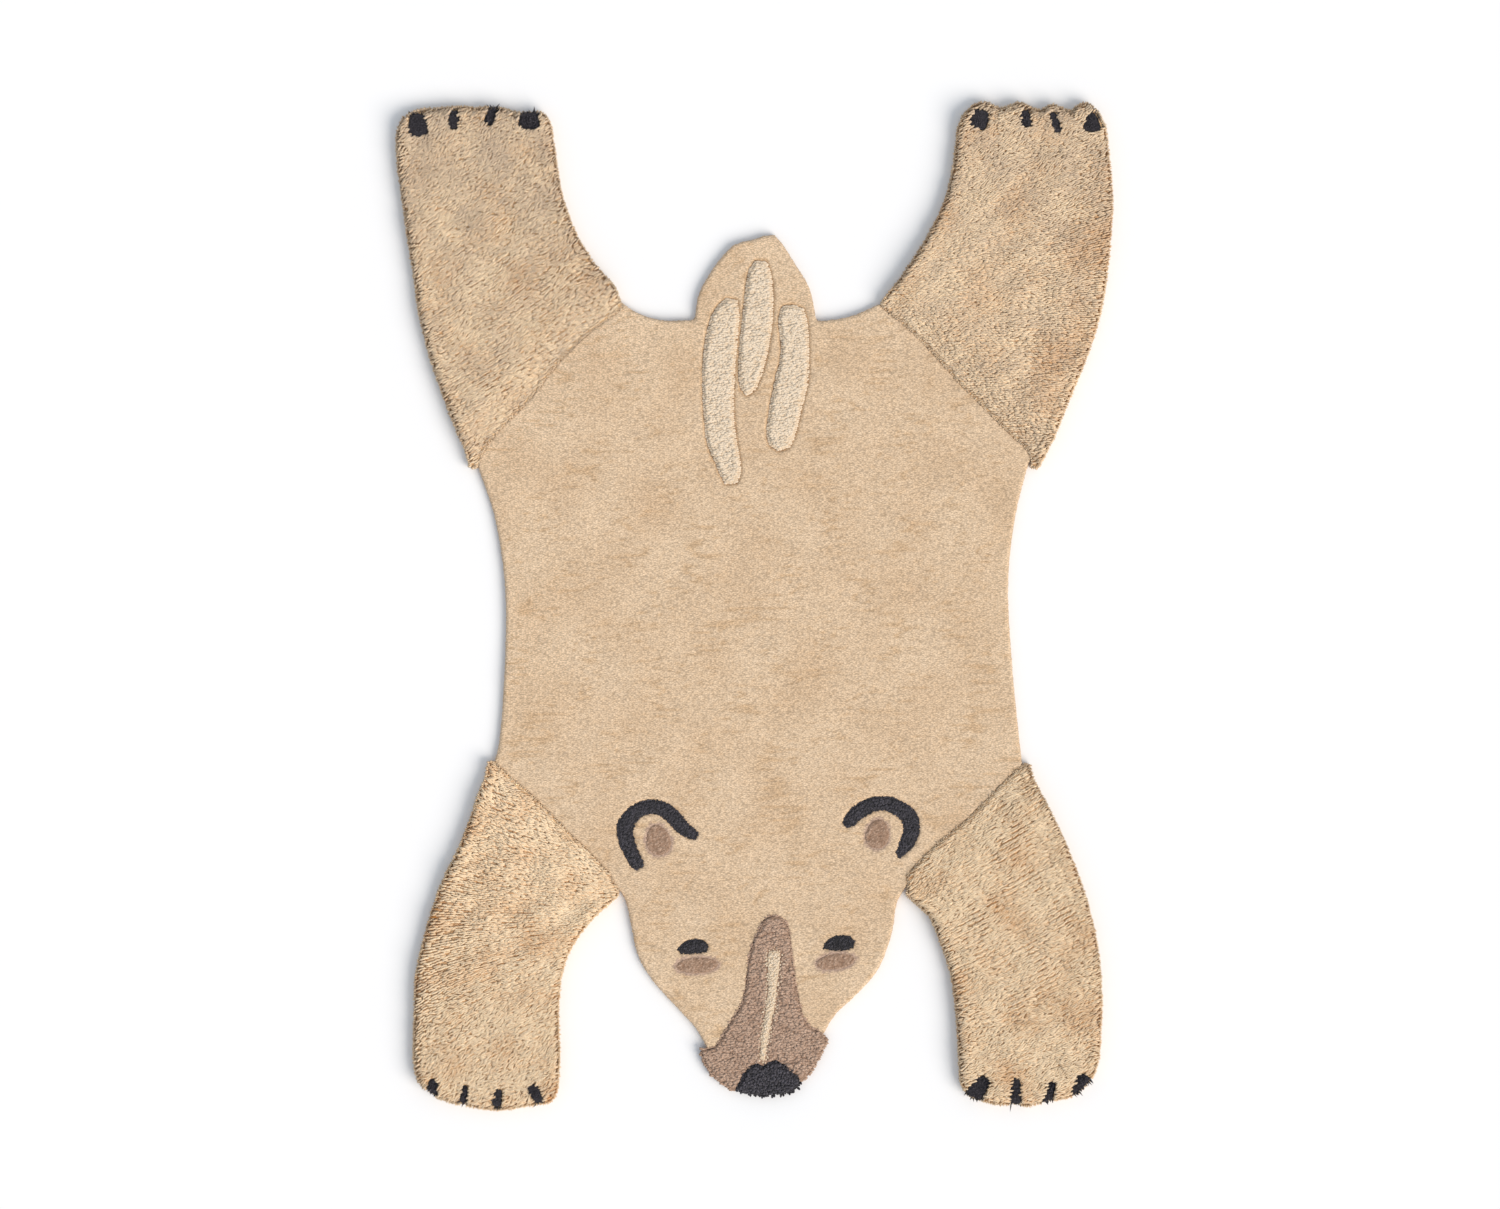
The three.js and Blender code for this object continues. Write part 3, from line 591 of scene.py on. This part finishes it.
shag = {
    "pitch": 3.0,  # from row to row
    "along": 6.0,  # from yarn to yarn in a row
    "rowStray": 0.12,  # as a share of the pitch
    "alongStray": 0.2,  # as a share of the distance in a row
    "rimStray": 0.4,
    "radius": 2.2,
    "highest": 29.5,  # no tip stands higher
    "shortest": 2.5,  # and each stands at least this far above its foot
    "ground": 0.82,  # height of what closes the gaps between the ends, as a share of the shag's
    "groundDrop": 4,  # how far that lies below the ends along a seam
    "inset": 1.5,  # how far it lies inside the free rim
    "margin": 2.3,
    "seamMargin": 0.7,
    "seamClear": 0.3,  # between the body's outline and the nearest foot
    "seamSlope": 60,  # width over which the shag slopes down to a seam
    "seamReach": 8,  # width over which the yarns lean over a seam
    "clawClear": 0.6,
    "unevenness": 0.3,  # of the cut ends
    "partDepth": 3.4,  # of the lines where the shag parts
    "partRows": 3,  # from one such line to the next
    "partLength": 9,
    "swell": 0.5,
    "combed": 1.2,  # how far the tips lie over
    "clumpLean": 0.15,
    "strayLean": 0.3,
    "strayAngle": 6,  # degrees from yarn to yarn
    "rimLean": 4.8,
    "rimReach": 22,  # the outward lean fades over this much of the rim
    "rimLift": 4.5,  # the yarns stand this much higher at the rim than the solid's rounded shoulder
    "legFrom": 330,  # from the rug's middle, where the combing starts to turn
    "legTo": 800,  # and where it has turned
    "pawFrom": 540,  # likewise for what is different on the paw
    "pawTo": 780,
    "yarn": {"sides": 4, "waist": 0.9, "bulge": 1.0, "shoulder": 0.7, "ridge": 0.6},
    "skirt": [  # yarns that hang out over the rim, with tips between low and high
        {"low": 3, "high": 8, "lean": 3.4, "inset": 2.2},
        {"low": 8, "high": 14, "lean": 4.6, "inset": 3.0},
        {"low": 13, "high": 17, "lean": 4.4, "inset": 3.6},
    ],
}
shagTone = {  # how far yarns stray to the browner shade
    "all": 0.06,
    "part": 0.7,  # painted shade in the lines where the shag parts
    "swell": -0.04,  # painted lighter on its swells and browner between them, as light and shade fall
    "patch": 0.09,
    "yarn": 0.10,  # from yarn to yarn
    "skirt": 0.05,
    "skirtGrey": 0.55,
}
# seamAngle and pawAngle: how the yarns are combed at either end, in degrees from +X; comb: how much
# longer their ends are that way; parts: how strong the partings are; seamLean: how far the shag leans
# over the seam; seamGap: width of the clipped line along it, and how strongly the body beside it is
# painted with shade; seamHeight: height of the shag there; grey: how much greyer the leg is, and its
# paw; dark: centre, radius and strength of browner patches
legLooks = {
    "hind_leg_left": {
        "seed": 11, "seamAngle": 30, "pawAngle": 42, "comb": 2.0, "parts": 1.0,
        "seamLean": 0.5, "seamGap": 0.1, "seamHeight": 16.5,
        "grey": (0.37, 0.66), "dark": [(-360, 560, 90, 0.15)],
    },
    "hind_leg_right": {
        "seed": 12, "seamAngle": -4, "pawAngle": 24, "comb": 1.8, "parts": 0.5,
        "seamLean": 0.4, "seamGap": 0.1, "seamHeight": 16.5,
        "grey": (0.34, 0.48), "dark": [(560, 610, 70, 0.5), (500, 400, 90, 0.3)],
    },
    "fore_leg_left": {
        "seed": 13, "seamAngle": -22, "pawAngle": 38, "comb": 2.0, "parts": 1.0,
        "seamLean": 0.5, "seamGap": 0.35, "seamHeight": 17.5,
        "grey": (0.0, 0.05), "dark": [(-390, -560, 90, 0.15)],
    },
    "fore_leg_right": {
        "seed": 14, "seamAngle": 30, "pawAngle": 24, "comb": 2.2, "parts": 1.0,
        "seamLean": 0.4, "seamGap": 0.5, "seamHeight": 18,
        "grey": (0.0, 0.05), "dark": [(500, -650, 100, 0.15)],
    },
}


def outOfBody(place):
    return -toLoop(place, outlines["body_pile"])[0]


def combAngle(look, y):
    # How the yarns are combed at a distance from the middle of the rug
    far = ease(np.abs(y), shag["legFrom"] * mm, shag["legTo"] * mm)
    return np.radians(look["seamAngle"] + (look["pawAngle"] - look["seamAngle"]) * far)


def marginAt(place):
    # The yarns stand nearer to the seam than to the free rim, over which they hang
    free = ease(outOfBody(place), 3 * mm, 10 * mm)
    return (shag["seamMargin"] + (shag["margin"] - shag["seamMargin"]) * free) * mm


def seamSlope(height, fromBody, seamHeight):
    # The shag slopes down to a height at the seam
    near = 1 - ease(fromBody, 0, shag["seamSlope"] * mm)
    return height - (height - seamHeight * mm).clip(0) * near


def combedRows(loop, look):
    # Places for yarns in rows that follow the combing, and the number of each place's row
    rng = np.random.default_rng(look["seed"])
    slant, middle = np.polyfit(loop[:, 1], loop[:, 0], 1)

    def rowOf(x, y):
        return y - np.tan(combAngle(look, y)) * (x - middle - slant * y)

    low, high = loop.min(0), loop.max(0)
    wide, tall = high - low
    cols, rows = int(wide / shag["along"] / mm) + 2, int((tall + 2 * wide) / shag["pitch"] / mm)
    i, j = (grid.ravel() for grid in np.meshgrid(np.arange(cols), np.arange(rows)))
    astray = rng.normal(0, shag["alongStray"], len(i))
    x = low[0] + shag["along"] * mm * (i + 0.5 * (j % 2) + astray)
    row = low[1] - wide + shag["pitch"] * mm * (j + rng.normal(0, shag["rowStray"], len(j)))
    y = row
    for _ in range(12):  # finds where each row lies at x, little by little
        y = y + 0.8 * (row - rowOf(x, y))
    found = np.abs(row - rowOf(x, y)) < 0.5 * mm
    place, number = np.stack([x, y], 1)[found], j[found]
    inside = toLoop(place, loop)[0] > marginAt(place) + 0.6 * shag["pitch"] * mm
    return place[inside], number[inside]


def hangingYarns(loop, row, rng):
    # One row of yarns that hang out over a leg's free rim
    place, way = along(loop, shag["pitch"] * mm)
    place = place - way * row["inset"] * mm + rng.normal(0, 0.7 * mm, place.shape)
    away = outOfBody(place) > 3 * mm
    place, way, many = place[away], way[away], away.sum()
    tip = rng.uniform(row["low"], row["high"], many) * mm
    lean = way * row["lean"] * rng.uniform(0.6, 1.15, (many, 1)) + rng.normal(0, 1.0, place.shape)
    return {
        "root": place,
        "base": np.full(many, 0.6 * mm),
        "tip": tip,
        "lean": lean * mm,
        "comb": np.zeros(place.shape),
        "tone": np.clip(rng.normal(shagTone["skirt"], 0.05, many), 0, 1),
        "other": np.full(many, shagTone["skirtGrey"]),
        "radius": shag["radius"] * mm * rng.uniform(0.8, 1.1, many),
    }


def makeLeg(leg, look):
    loop, seed = outlines[leg], look["seed"]
    rng = np.random.default_rng(seed)
    groundPiece = finish(leg + "_ground", groundOf(leg, look), "sand_wool_shag")

    rim, out = along(loop, shag["pitch"] * mm)
    inner, row = combedRows(loop, look)
    rim = rim - out * marginAt(rim)[:, None] + rng.normal(0, shag["rimStray"] * mm, rim.shape)
    root = np.concatenate([rim, inner])
    row = np.concatenate([np.full(len(rim), -1), row + 1])
    depth, out = toLoop(root, loop)
    fromBody = outOfBody(root)
    gap = look["seamGap"] * (1 + 0.5 * drift(root, 5, seed + 9)).clip(0.2, 2)
    keep = fromBody > (shag["seamClear"] + gap) * mm
    for name in clawNames[leg]:
        keep &= toLoop(root, outlines[name])[0] < -shag["clawClear"] * mm
    root, row, depth, out, fromBody = (values[keep] for values in (root, row, depth, out, fromBody))

    many = len(root)
    free = ease(outOfBody(root + out * depth[:, None]), 2 * mm, 10 * mm)  # 0 along the seam
    paw = ease(np.abs(root[:, 1]), shag["pawFrom"] * mm, shag["pawTo"] * mm)
    strength = look["parts"] * (1 - 0.45 * paw) * (0.6 + 0.4 * drift(root, 50, seed + 5)).clip(0.2, 1)
    apart = np.stack([row * 71, row * 37], 1) * mm  # makes each row part in places of its own
    broken = (0.35 + drift(root + apart, shag["partLength"], seed + 10)).clip(0, 1)
    part = (row % shag["partRows"] == 0) * broken * strength
    swell = drift(root, 26, seed + 2)
    atRim = (1 - ease(depth, 0, shag["rimReach"] * mm)) * free
    atSeam = 1 - ease(fromBody, 0, shag["seamReach"] * mm)
    stray = shag["strayAngle"] * (1 + 1.5 * paw) * rng.standard_normal(many) + 4 * drift(root, 35, seed + 6)
    angle = combAngle(look, root[:, 1]) + np.radians(stray)
    way = np.stack([np.cos(angle), np.sin(angle)], 1)
    lean = (
        shag["combed"] * way * (1 - atRim)[:, None]
        + shag["clumpLean"] * np.stack([drift(root, 9, seed + 3), drift(root, 9, seed + 4)], 1)
        + shag["strayLean"] * rng.standard_normal(root.shape)
        + shag["rimLean"] * atRim[:, None] * out
        + look["seamLean"] * (atSeam * rng.uniform(0, 2, many))[:, None] * out
    )
    # painted shade in the partings and painted light on the swells; the patches and each yarn's own tone
    # differ at random
    tone = shagTone["all"] + shagTone["part"] * part + shagTone["swell"] * swell
    tone += shagTone["patch"] * drift(root, 50, seed + 7) + shagTone["yarn"] * rng.standard_normal(many)
    for x, y, radius, brown in look["dark"]:
        tone += brown * (1 - ease(np.linalg.norm(root - np.array([x, y]) * mm, axis=1), 0, radius * mm))
    grey = look["grey"][0] + (look["grey"][1] - look["grey"][0]) * paw
    grey = grey * (1 + 0.2 * drift(root, 40, seed + 8))
    crown = seamSlope(topOf(leg, root), fromBody, look["seamHeight"])
    uneven = (
        shag["swell"] * swell
        - shag["partDepth"] * part
        + shag["rimLift"] * atRim
        + shag["unevenness"] * rng.standard_normal(many).clip(-2, 1.5)
    )
    standing = {
        "root": root,
        "base": np.where(depth < 6 * mm, 1 * mm, shag["ground"] * crown - 2 * mm),
        "tip": crown + mm * uneven,
        "lean": lean * mm,
        "comb": np.where(row[:, None] > 0, way * np.sqrt(look["comb"]), out * 0.5),
        "tone": tone.clip(0, 1),
        "other": (grey + 0.2 * rng.standard_normal(many)).clip(0, 1),
        "radius": shag["radius"] * mm * rng.uniform(0.85, 1.15, many),
    }
    tufts = gather([standing, *(hangingYarns(loop, row, rng) for row in shag["skirt"])])
    least = tufts["base"] + shag["shortest"] * mm
    tufts["tip"] = np.minimum(np.maximum(tufts["tip"], least), shag["highest"] * mm)
    mesh = tuftMesh(leg + "_shag", tuftShape(**shag["yarn"]), tufts)
    shagPiece = finish(leg + "_shag", mesh, "sand_wool_shag", leg)
    print(leg, len(tufts["root"]), "yarns,", countFaces(mesh), "triangles")

    claws = [piece for n, name in enumerate(clawNames[leg]) for piece in makeClaw(name, seed * 10 + n)]


def groundOf(leg, look):
    # The close fur under the yarns' tips: a closed copy of the leg's own solid, lower by a share and
    # drawn in from the free rim
    bm = bmesh.new()
    bm.from_mesh(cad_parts[leg].data)
    bmesh.ops.remove_doubles(bm, verts=bm.verts, dist=0.01 * mm)
    bmesh.ops.scale(bm, verts=bm.verts, vec=(1, 1, shag["ground"]))
    place = np.array([v.co.xy for v in bm.verts])
    depth, out = toLoop(place, outlines[leg])
    free = ease(outOfBody(place + out * depth[:, None]), 2 * mm, 6 * mm)
    height = np.array([v.co.z for v in bm.verts])
    height = seamSlope(height, outOfBody(place), look["seamHeight"] - shag["groundDrop"])
    place -= out * ((shag["inset"] * mm - depth).clip(0) * free)[:, None]
    for v, (x, y), z in zip(bm.verts, place, height):
        v.co = x, y, z
    mesh = bpy.data.meshes.new(leg + "_ground")
    bm.to_mesh(mesh)
    bm.free()
    # painted shade under the shag
    paintShaded(mesh, 0.6, 0.1)
    return mesh


claw = {
    "pitch": 2.5,
    "radius": 1.45,
    "margin": 0.5,
    "foot": 5,  # height at which the yarns are rooted
    "ground": 4,  # where what closes the gaps between them starts
    "fill": 3.5,  # how far below the tips it ends
    "inset": 1.5,
    "drop": 4,  # a rounded rim falls no further than this
    "outwards": 1.2,  # towards the end of the paw
    "rimLean": 2.8,
    "strayLean": 2.0,
    "yarn": {"sides": 4, "waist": 0.8, "bulge": 0.9, "shoulder": 0.55},
}


def makeClaw(node, seed):
    rng = np.random.default_rng(seed)
    loop = outlines[node]
    rim, inner = standTufts(loop, claw["pitch"], claw["margin"], seed)
    root = np.concatenate([rim, inner])
    many = len(root)
    depth, out = toLoop(root, loop)
    crown = topOf(node, root)
    top = crown.max()
    paw = np.array([0, np.sign(loop[:, 1].mean())])
    spread = claw["rimLean"] * (1 - ease(depth, 0, 5 * mm)) * rng.uniform(0, 1.6, many) ** 2
    stray = claw["strayLean"] * rng.standard_normal(root.shape)
    tufts = {
        "root": root,
        "base": np.full(many, claw["foot"] * mm),
        "tip": crown.clip(top - claw["drop"] * mm, top) + rng.normal(0.7, 0.6, many) * mm,
        "lean": mm * (claw["outwards"] * paw + spread[:, None] * out + stray),
        "comb": np.zeros(root.shape),
        "tone": rng.uniform(0, 0.3, many),
        # some yarns take the charcoal's lighter other colour: painted highlights
        "other": rng.uniform(-0.2, 0.7, many).clip(0),
        "radius": claw["radius"] * mm * rng.uniform(0.75, 1.15, many),
    }
    mesh = tuftMesh(node, tuftShape(**claw["yarn"]), tufts)
    yarnPiece = finish(node + "_yarn", mesh, "charcoal_wool_cut", node)
    upper = crown.mean() / mm - claw["fill"]
    groundMesh = slabMesh(node + "_ground", insetLoop(loop, claw["inset"]), claw["ground"], upper, 0)
    # painted shade under the claw's yarns
    paintShaded(groundMesh, 0.5, 0.1)
    return yarnPiece, finish(node + "_ground", groundMesh, "charcoal_wool_cut")


for leg, look in legLooks.items():
    makeLeg(leg, look)
print("legs made")


# The fields of other yarn. height: of the cut ends; fill: how far below them the gaps close; groove: the
# clipped line round a field; rough: unevenness of the ends; shoulder: how far the rim is rounded down;
# tone and bright: how many yarns stray to the darker and to the other colour, which on the charcoal yarn
# is a painted highlight; comb: how much longer the cut ends are from left to right; holds: other fields
# inside it, and how far its yarns keep from each

plainField = {
    "yarn": "charcoal_wool_cut", "host": "body", "base": 3.3, "fill": 1.5, "groove": 0.3,
    "pitch": 3.4, "radius": 2.4, "margin": 1.2, "rough": 0.35, "shoulder": 0,
    "part": 0, "partAngle": 3, "lean": 0.6, "rimLean": 0.6, "rimSpread": 0.4,
    "tone": 0.15, "bright": 0.0, "comb": 0.0, "holds": {},
}
stroke = {
    "yarn": "cream_wool_cut", "height": 16.4, "groove": 1.5,
    "rough": 0.1, "shoulder": 1.8, "part": 1.0, "lean": 0.25, "comb": 0.8,
}
earRim = {"height": 15, "tone": 0.55}
eye = {"height": 15.5, "pitch": 3.0, "radius": 2.1, "tone": 0.75}
fields = {
    "muzzle": {
        "seed": 31, "yarn": "taupe_wool_cut", "host": None, "base": 0, "height": 17.4, "fill": 1.5,
        "groove": 0, "pitch": 3.8, "radius": 2.6, "rough": 0.3, "shoulder": 1.2,
        "part": 1.0, "lean": 0.8, "rimLean": 2.4, "rimSpread": 0.8, "comb": 0.6,
        "holds": {"muzzle_stripe": 3.2, "nose": 1.8},
    },
    "nose": {
        "seed": 32, "host": "muzzle", "base": 0, "height": 20, "fill": 2.4, "groove": 0,
        "pitch": 3.3, "radius": 2.2, "rough": 0.8, "shoulder": 2.0,
        "lean": 1.2, "rimLean": 2.4, "rimSpread": 2.2, "tone": 0.4, "bright": 0.06,
    },
    "muzzle_stripe": {
        "seed": 33, "yarn": "cream_wool_cut", "host": "muzzle", "height": 18.4, "fill": 1.2, "groove": 0,
        "pitch": 2.9, "radius": 2.1, "margin": 0.3, "rough": 0.5,
        "lean": 1.2, "rimLean": 2.6, "rimSpread": 3.0,
    },
    "tail_stroke_left": {"seed": 34, **stroke},
    "tail_stroke_middle": {"seed": 35, **stroke},
    "tail_stroke_right": {"seed": 36, **stroke},
    "ear_rim_left": {"seed": 37, **earRim},
    "ear_rim_right": {"seed": 38, **earRim},
    "eye_left": {"seed": 43, **eye},
    "eye_right": {"seed": 44, **eye},
}
fields = {name: {**plainField, **own} for name, own in fields.items()}
fieldYarn = {"sides": 5, "waist": 0.85, "bulge": 1.0, "shoulder": 0.78}
fieldRim = {
    "reach": 6,  # width over which the yarns lean out
    "shoulder": 4.5,  # width over which the rim is rounded down
    "deep": 4,  # the yarns nearer to the rim than this are seen from the side, down to their roots
    "inset": 1.4,  # of what closes the gaps
    "round": 1.2,
}


def makeField(name, field):
    rng = np.random.default_rng(field["seed"])
    loop = outlines[name]
    rim, inner = standTufts(loop, field["pitch"], field["margin"], field["seed"])
    root = np.concatenate([rim, inner])
    for held, distance in field["holds"].items():
        root = root[toLoop(root, outlines[held])[0] < -distance * mm]
    depth, out = toLoop(root, loop)
    many = len(root)
    part = partings(root, 6, field["seed"] + 100, 2.4, field["partAngle"], 0.35)
    atRim = 1 - ease(depth, 0, fieldRim["reach"] * mm)
    reach = atRim * (field["rimLean"] + field["rimSpread"] * rng.standard_normal(many))
    top = field["height"] - field["shoulder"] * (1 - ease(depth, 0, fieldRim["shoulder"] * mm))
    ground = field["height"] - field["fill"]
    # painted shade in the partings; the rest of the tone is the field's own and differs at random
    tone = field["tone"] + 0.35 * part * (field["part"] > 0)
    tufts = {
        "root": root,
        "base": np.where(depth < fieldRim["deep"] * mm, field["base"] + 0.8, ground - 1.2) * mm,
        "tip": mm * (top + field["rough"] * rng.standard_normal(many).clip(-2, 1.5) - field["part"] * part),
        "lean": mm * (field["lean"] * rng.standard_normal(root.shape) + reach[:, None] * out),
        "comb": np.tile([field["comb"] ** 0.5, 0], (many, 1)),
        "tone": np.clip(tone + 0.2 * rng.standard_normal(many), 0, 1),
        # other: yarns that stray to the other colour; on the charcoal nose these are painted highlights
        "other": np.clip(field["bright"] * (1 + 2 * rng.standard_normal(many)), 0, 1),
        "radius": field["radius"] * mm * rng.uniform(0.85, 1.12, many),
    }
    mesh = tuftMesh(name + "_yarn", tuftShape(**fieldYarn), tufts)
    print(name, many, "yarns,", countFaces(mesh), "triangles")
    groundLoop = insetLoop(loop, fieldRim["inset"])
    groundMesh = slabMesh(name + "_ground", groundLoop, field["base"], ground, fieldRim["round"])
    # painted shade under the field's yarns
    paintShaded(groundMesh, 0.45, 0.2)
    yarnPiece = finish(name + "_yarn", mesh, field["yarn"], name)
    return yarnPiece, finish(name + "_ground", groundMesh, field["yarn"])


patch = {
    "height": 14.3,
    "base": 9,
    "cell": 2.4,
    "grain": 0.55,
    "rim": 5,  # width over which a patch rises out of the pile round it
    "rimDrop": 1.3,
    "blur": 4.5,  # how far its colour runs into the sand yarn
}
patches = ["ear_inside_left", "ear_inside_right", "eye_patch_left", "eye_patch_right"]


def makePatch(name):
    rng = np.random.default_rng(len(name))
    loop = outlines[name]
    mesh, place = cutPile(name + "_pile", loop, patch["base"], patch["height"], patch["cell"])
    count = len(place)
    depth = toLoop(place[:, :2], loop)[0]
    onTop = place[:, 2] > (patch["height"] - 1.5) * mm
    grain = rng.standard_normal(count).clip(-2, 2)
    drop = patch["rimDrop"] * mm * (1 - ease(depth, 0, patch["rim"] * mm))
    place[:, 2] += np.where(onTop, patch["grain"] * mm * grain - drop, 0)
    mesh.vertices.foreach_set("co", place.ravel())
    mesh.update()
    # painted light and shade: ends that the grain lifts are lighter, lower ones darker
    setAttribute(mesh, "rise", np.clip(0.48 + 0.3 * grain, 0, 1))
    setAttribute(mesh, "tone", np.clip(0.2 + 0.25 * rng.standard_normal(count), 0, 1))
    setAttribute(mesh, "other", np.zeros(count))
    return finish(name + "_pile", mesh, "taupe_wool_cut", name)


# Torso, head and tail

lowPile = {
    "height": 14,
    "round": 4,  # of the free rim
    "cell": 3.7,
    "grain": 0.08,  # unevenness from yarn to yarn
    "part": 0.5,  # depth of the faint lines across the pile
    "swell": 0.35,
    "pocket": 5,  # depth at which the other fields' yarns are rooted
    "slope": 5,  # width over which the pile slopes down to a clipped line
    "slopeDrop": 1.5,
    "seam": 1.2,  # width of the line along a seam, and what its gap adds to it
    "seamDrop": 0.5,
    "patchDrop": 1.6,  # how far the pile sinks under a soft patch
    "jitter": 0.6,  # how far the yarn ends stand astray
    "rimPitch": 3.4,
    "rimRadius": 1.8,
    "rimInset": 2.2,
}


def toNeighbours(place):
    # The distance to the nearest field that has an outline of its own beside the body
    return np.min([-toLoop(place, outlines[name])[0] for name in [*legNames, "muzzle"]], axis=0)


def makeBody():
    rng = np.random.default_rng(5)
    loop = outlines["body_pile"]
    mesh, place = cutPile("body_low_pile", loop, 0, lowPile["height"], lowPile["cell"])
    count = len(place)
    flat = place[:, :2]
    depth = toLoop(flat, loop)[0]
    free = ease(toNeighbours(flat), 3 * mm, 9 * mm)
    onTop = ease(place[:, 2], 8 * mm, 12 * mm) > 0.5
    grain = rng.standard_normal(count).clip(-2, 2)
    part = partings(flat, 11, 21, 5.0, 3.0, 0.22) * (0.5 + 0.5 * drift(flat, 45, 24)).clip(0, 1)
    uneven = lowPile["grain"] * grain - lowPile["part"] * part + lowPile["swell"] * drift(flat, 60, 22)
    top = (lowPile["height"] + uneven) * mm
    top -= free * rounding(depth, lowPile["round"] * mm)
    # painted shade in the faint partings, and a little painted light on the higher ends of the grain; the
    # broad patches of tone and the rest differ at random
    rise = 0.78 + 0.04 * grain - 0.2 * part
    tone = 0.14 - 0.10 * drift(flat, 70, 23) + 0.2 * part + 0.04 * rng.standard_normal(count)
    other = np.zeros(count)
    for leg, look in legLooks.items():
        wide = lowPile["seam"] * (1 + look["seamGap"]) * mm
        beside = (1 - ease(-toLoop(flat, outlines[leg])[0], 0, wide)) * look["seamGap"]
        top -= lowPile["seamDrop"] * mm * beside
        # painted shade along the seam, where the leg's taller shag throws its shadow on the body
        rise -= 0.6 * beside
        tone += 0.9 * beside
    for name, field in fields.items():
        if field["host"] == "body":
            inside = toLoop(flat, outlines[name])[0]
            edge = (1.4 - 2.2 * field["groove"]) * mm  # where the low pile ends, inside the field's own rim
            slope = ease(inside, edge - lowPile["slope"] * mm, edge) * min(1, field["groove"])
            sunk = ease(inside, edge - 1.2 * mm, edge + 1.2 * mm)
            rooted = (lowPile["height"] - lowPile["pocket"]) * mm
            top = (top - lowPile["slopeDrop"] * mm * slope) * (1 - sunk) + rooted * sunk
            # painted shade in the clipped groove round the field and on the pile's slope down to it
            rise -= 0.25 * slope + 0.5 * sunk
            tone += 0.3 * slope
    for name in patches:
        inside = toLoop(flat, outlines[name])[0]
        top -= lowPile["patchDrop"] * mm * ease(inside, 0, 6 * mm)
        blurred = inside + rng.normal(0, 1.2 * mm, count)
        other = np.maximum(other, ease(blurred, -patch["blur"] * mm, 0.5 * mm))
    place[:, 2] = np.where(onTop, top, place[:, 2])
    place[:, :2] += mm * lowPile["jitter"] * rng.uniform(-1, 1, (count, 2)) * (place[:, 2] > 1 * mm)[:, None]
    mesh.vertices.foreach_set("co", place.ravel())
    mesh.update()
    # below its top the pile's rim is painted darker, as painted shade on its sides
    setAttribute(mesh, "rise", np.where(onTop, rise, 0.5).clip(0, 1))
    setAttribute(mesh, "tone", tone.clip(0, 1))
    setAttribute(mesh, "other", other)
    print("body_low_pile", countFaces(mesh), "triangles")
    return finish("body_low_pile", mesh, "sand_wool_low_cut", "body_pile")


def makeBodyRim():
    # The yarns that stand along the free rim, seen from the side
    rng = np.random.default_rng(6)
    root, way = along(outlines["body_pile"], lowPile["rimPitch"] * mm)
    free = toNeighbours(root) > 1.5 * mm
    root, way, many = root[free], way[free], free.sum()
    tufts = {
        "root": root - way * lowPile["rimInset"] * mm,
        "base": np.full(many, 0.5 * mm),
        "tip": rng.uniform(10.5, 12.8, many) * mm,
        "lean": mm * (way * rng.uniform(0.6, 1.6, (many, 1)) + rng.normal(0, 0.5, root.shape)),
        "comb": np.zeros(root.shape),
        "tone": rng.uniform(0, 0.5, many),
        "other": np.zeros(many),
        "radius": lowPile["rimRadius"] * mm * rng.uniform(0.85, 1.1, many),
    }
    mesh = tuftMesh("body_rim", tuftShape(**fieldYarn), tufts)
    print("body_rim_yarn", many, "yarns,", countFaces(mesh), "triangles")
    return finish("body_rim_yarn", mesh, "sand_wool_low_cut")


bodyPiece = makeBody()
rimPiece = makeBodyRim()
made = {name: makeField(name, field) for name, field in fields.items()}
patchPieces = [makePatch(name) for name in patches]
for piece, loop, held in (
    (bodyPiece, outlines["body_pile"], "body"),
    (made["muzzle"][1], outlines["muzzle"], "muzzle"),
):
    others = [piece for name, pieces in made.items() if fields[name]["host"] == held for piece in pieces]
    others += [rimPiece, *patchPieces] if held == "body" else [made["muzzle"][0]]
print("fields made")

total = sum(countFaces(o.data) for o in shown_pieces() if o.type == "MESH")
print("triangles in all:", total)
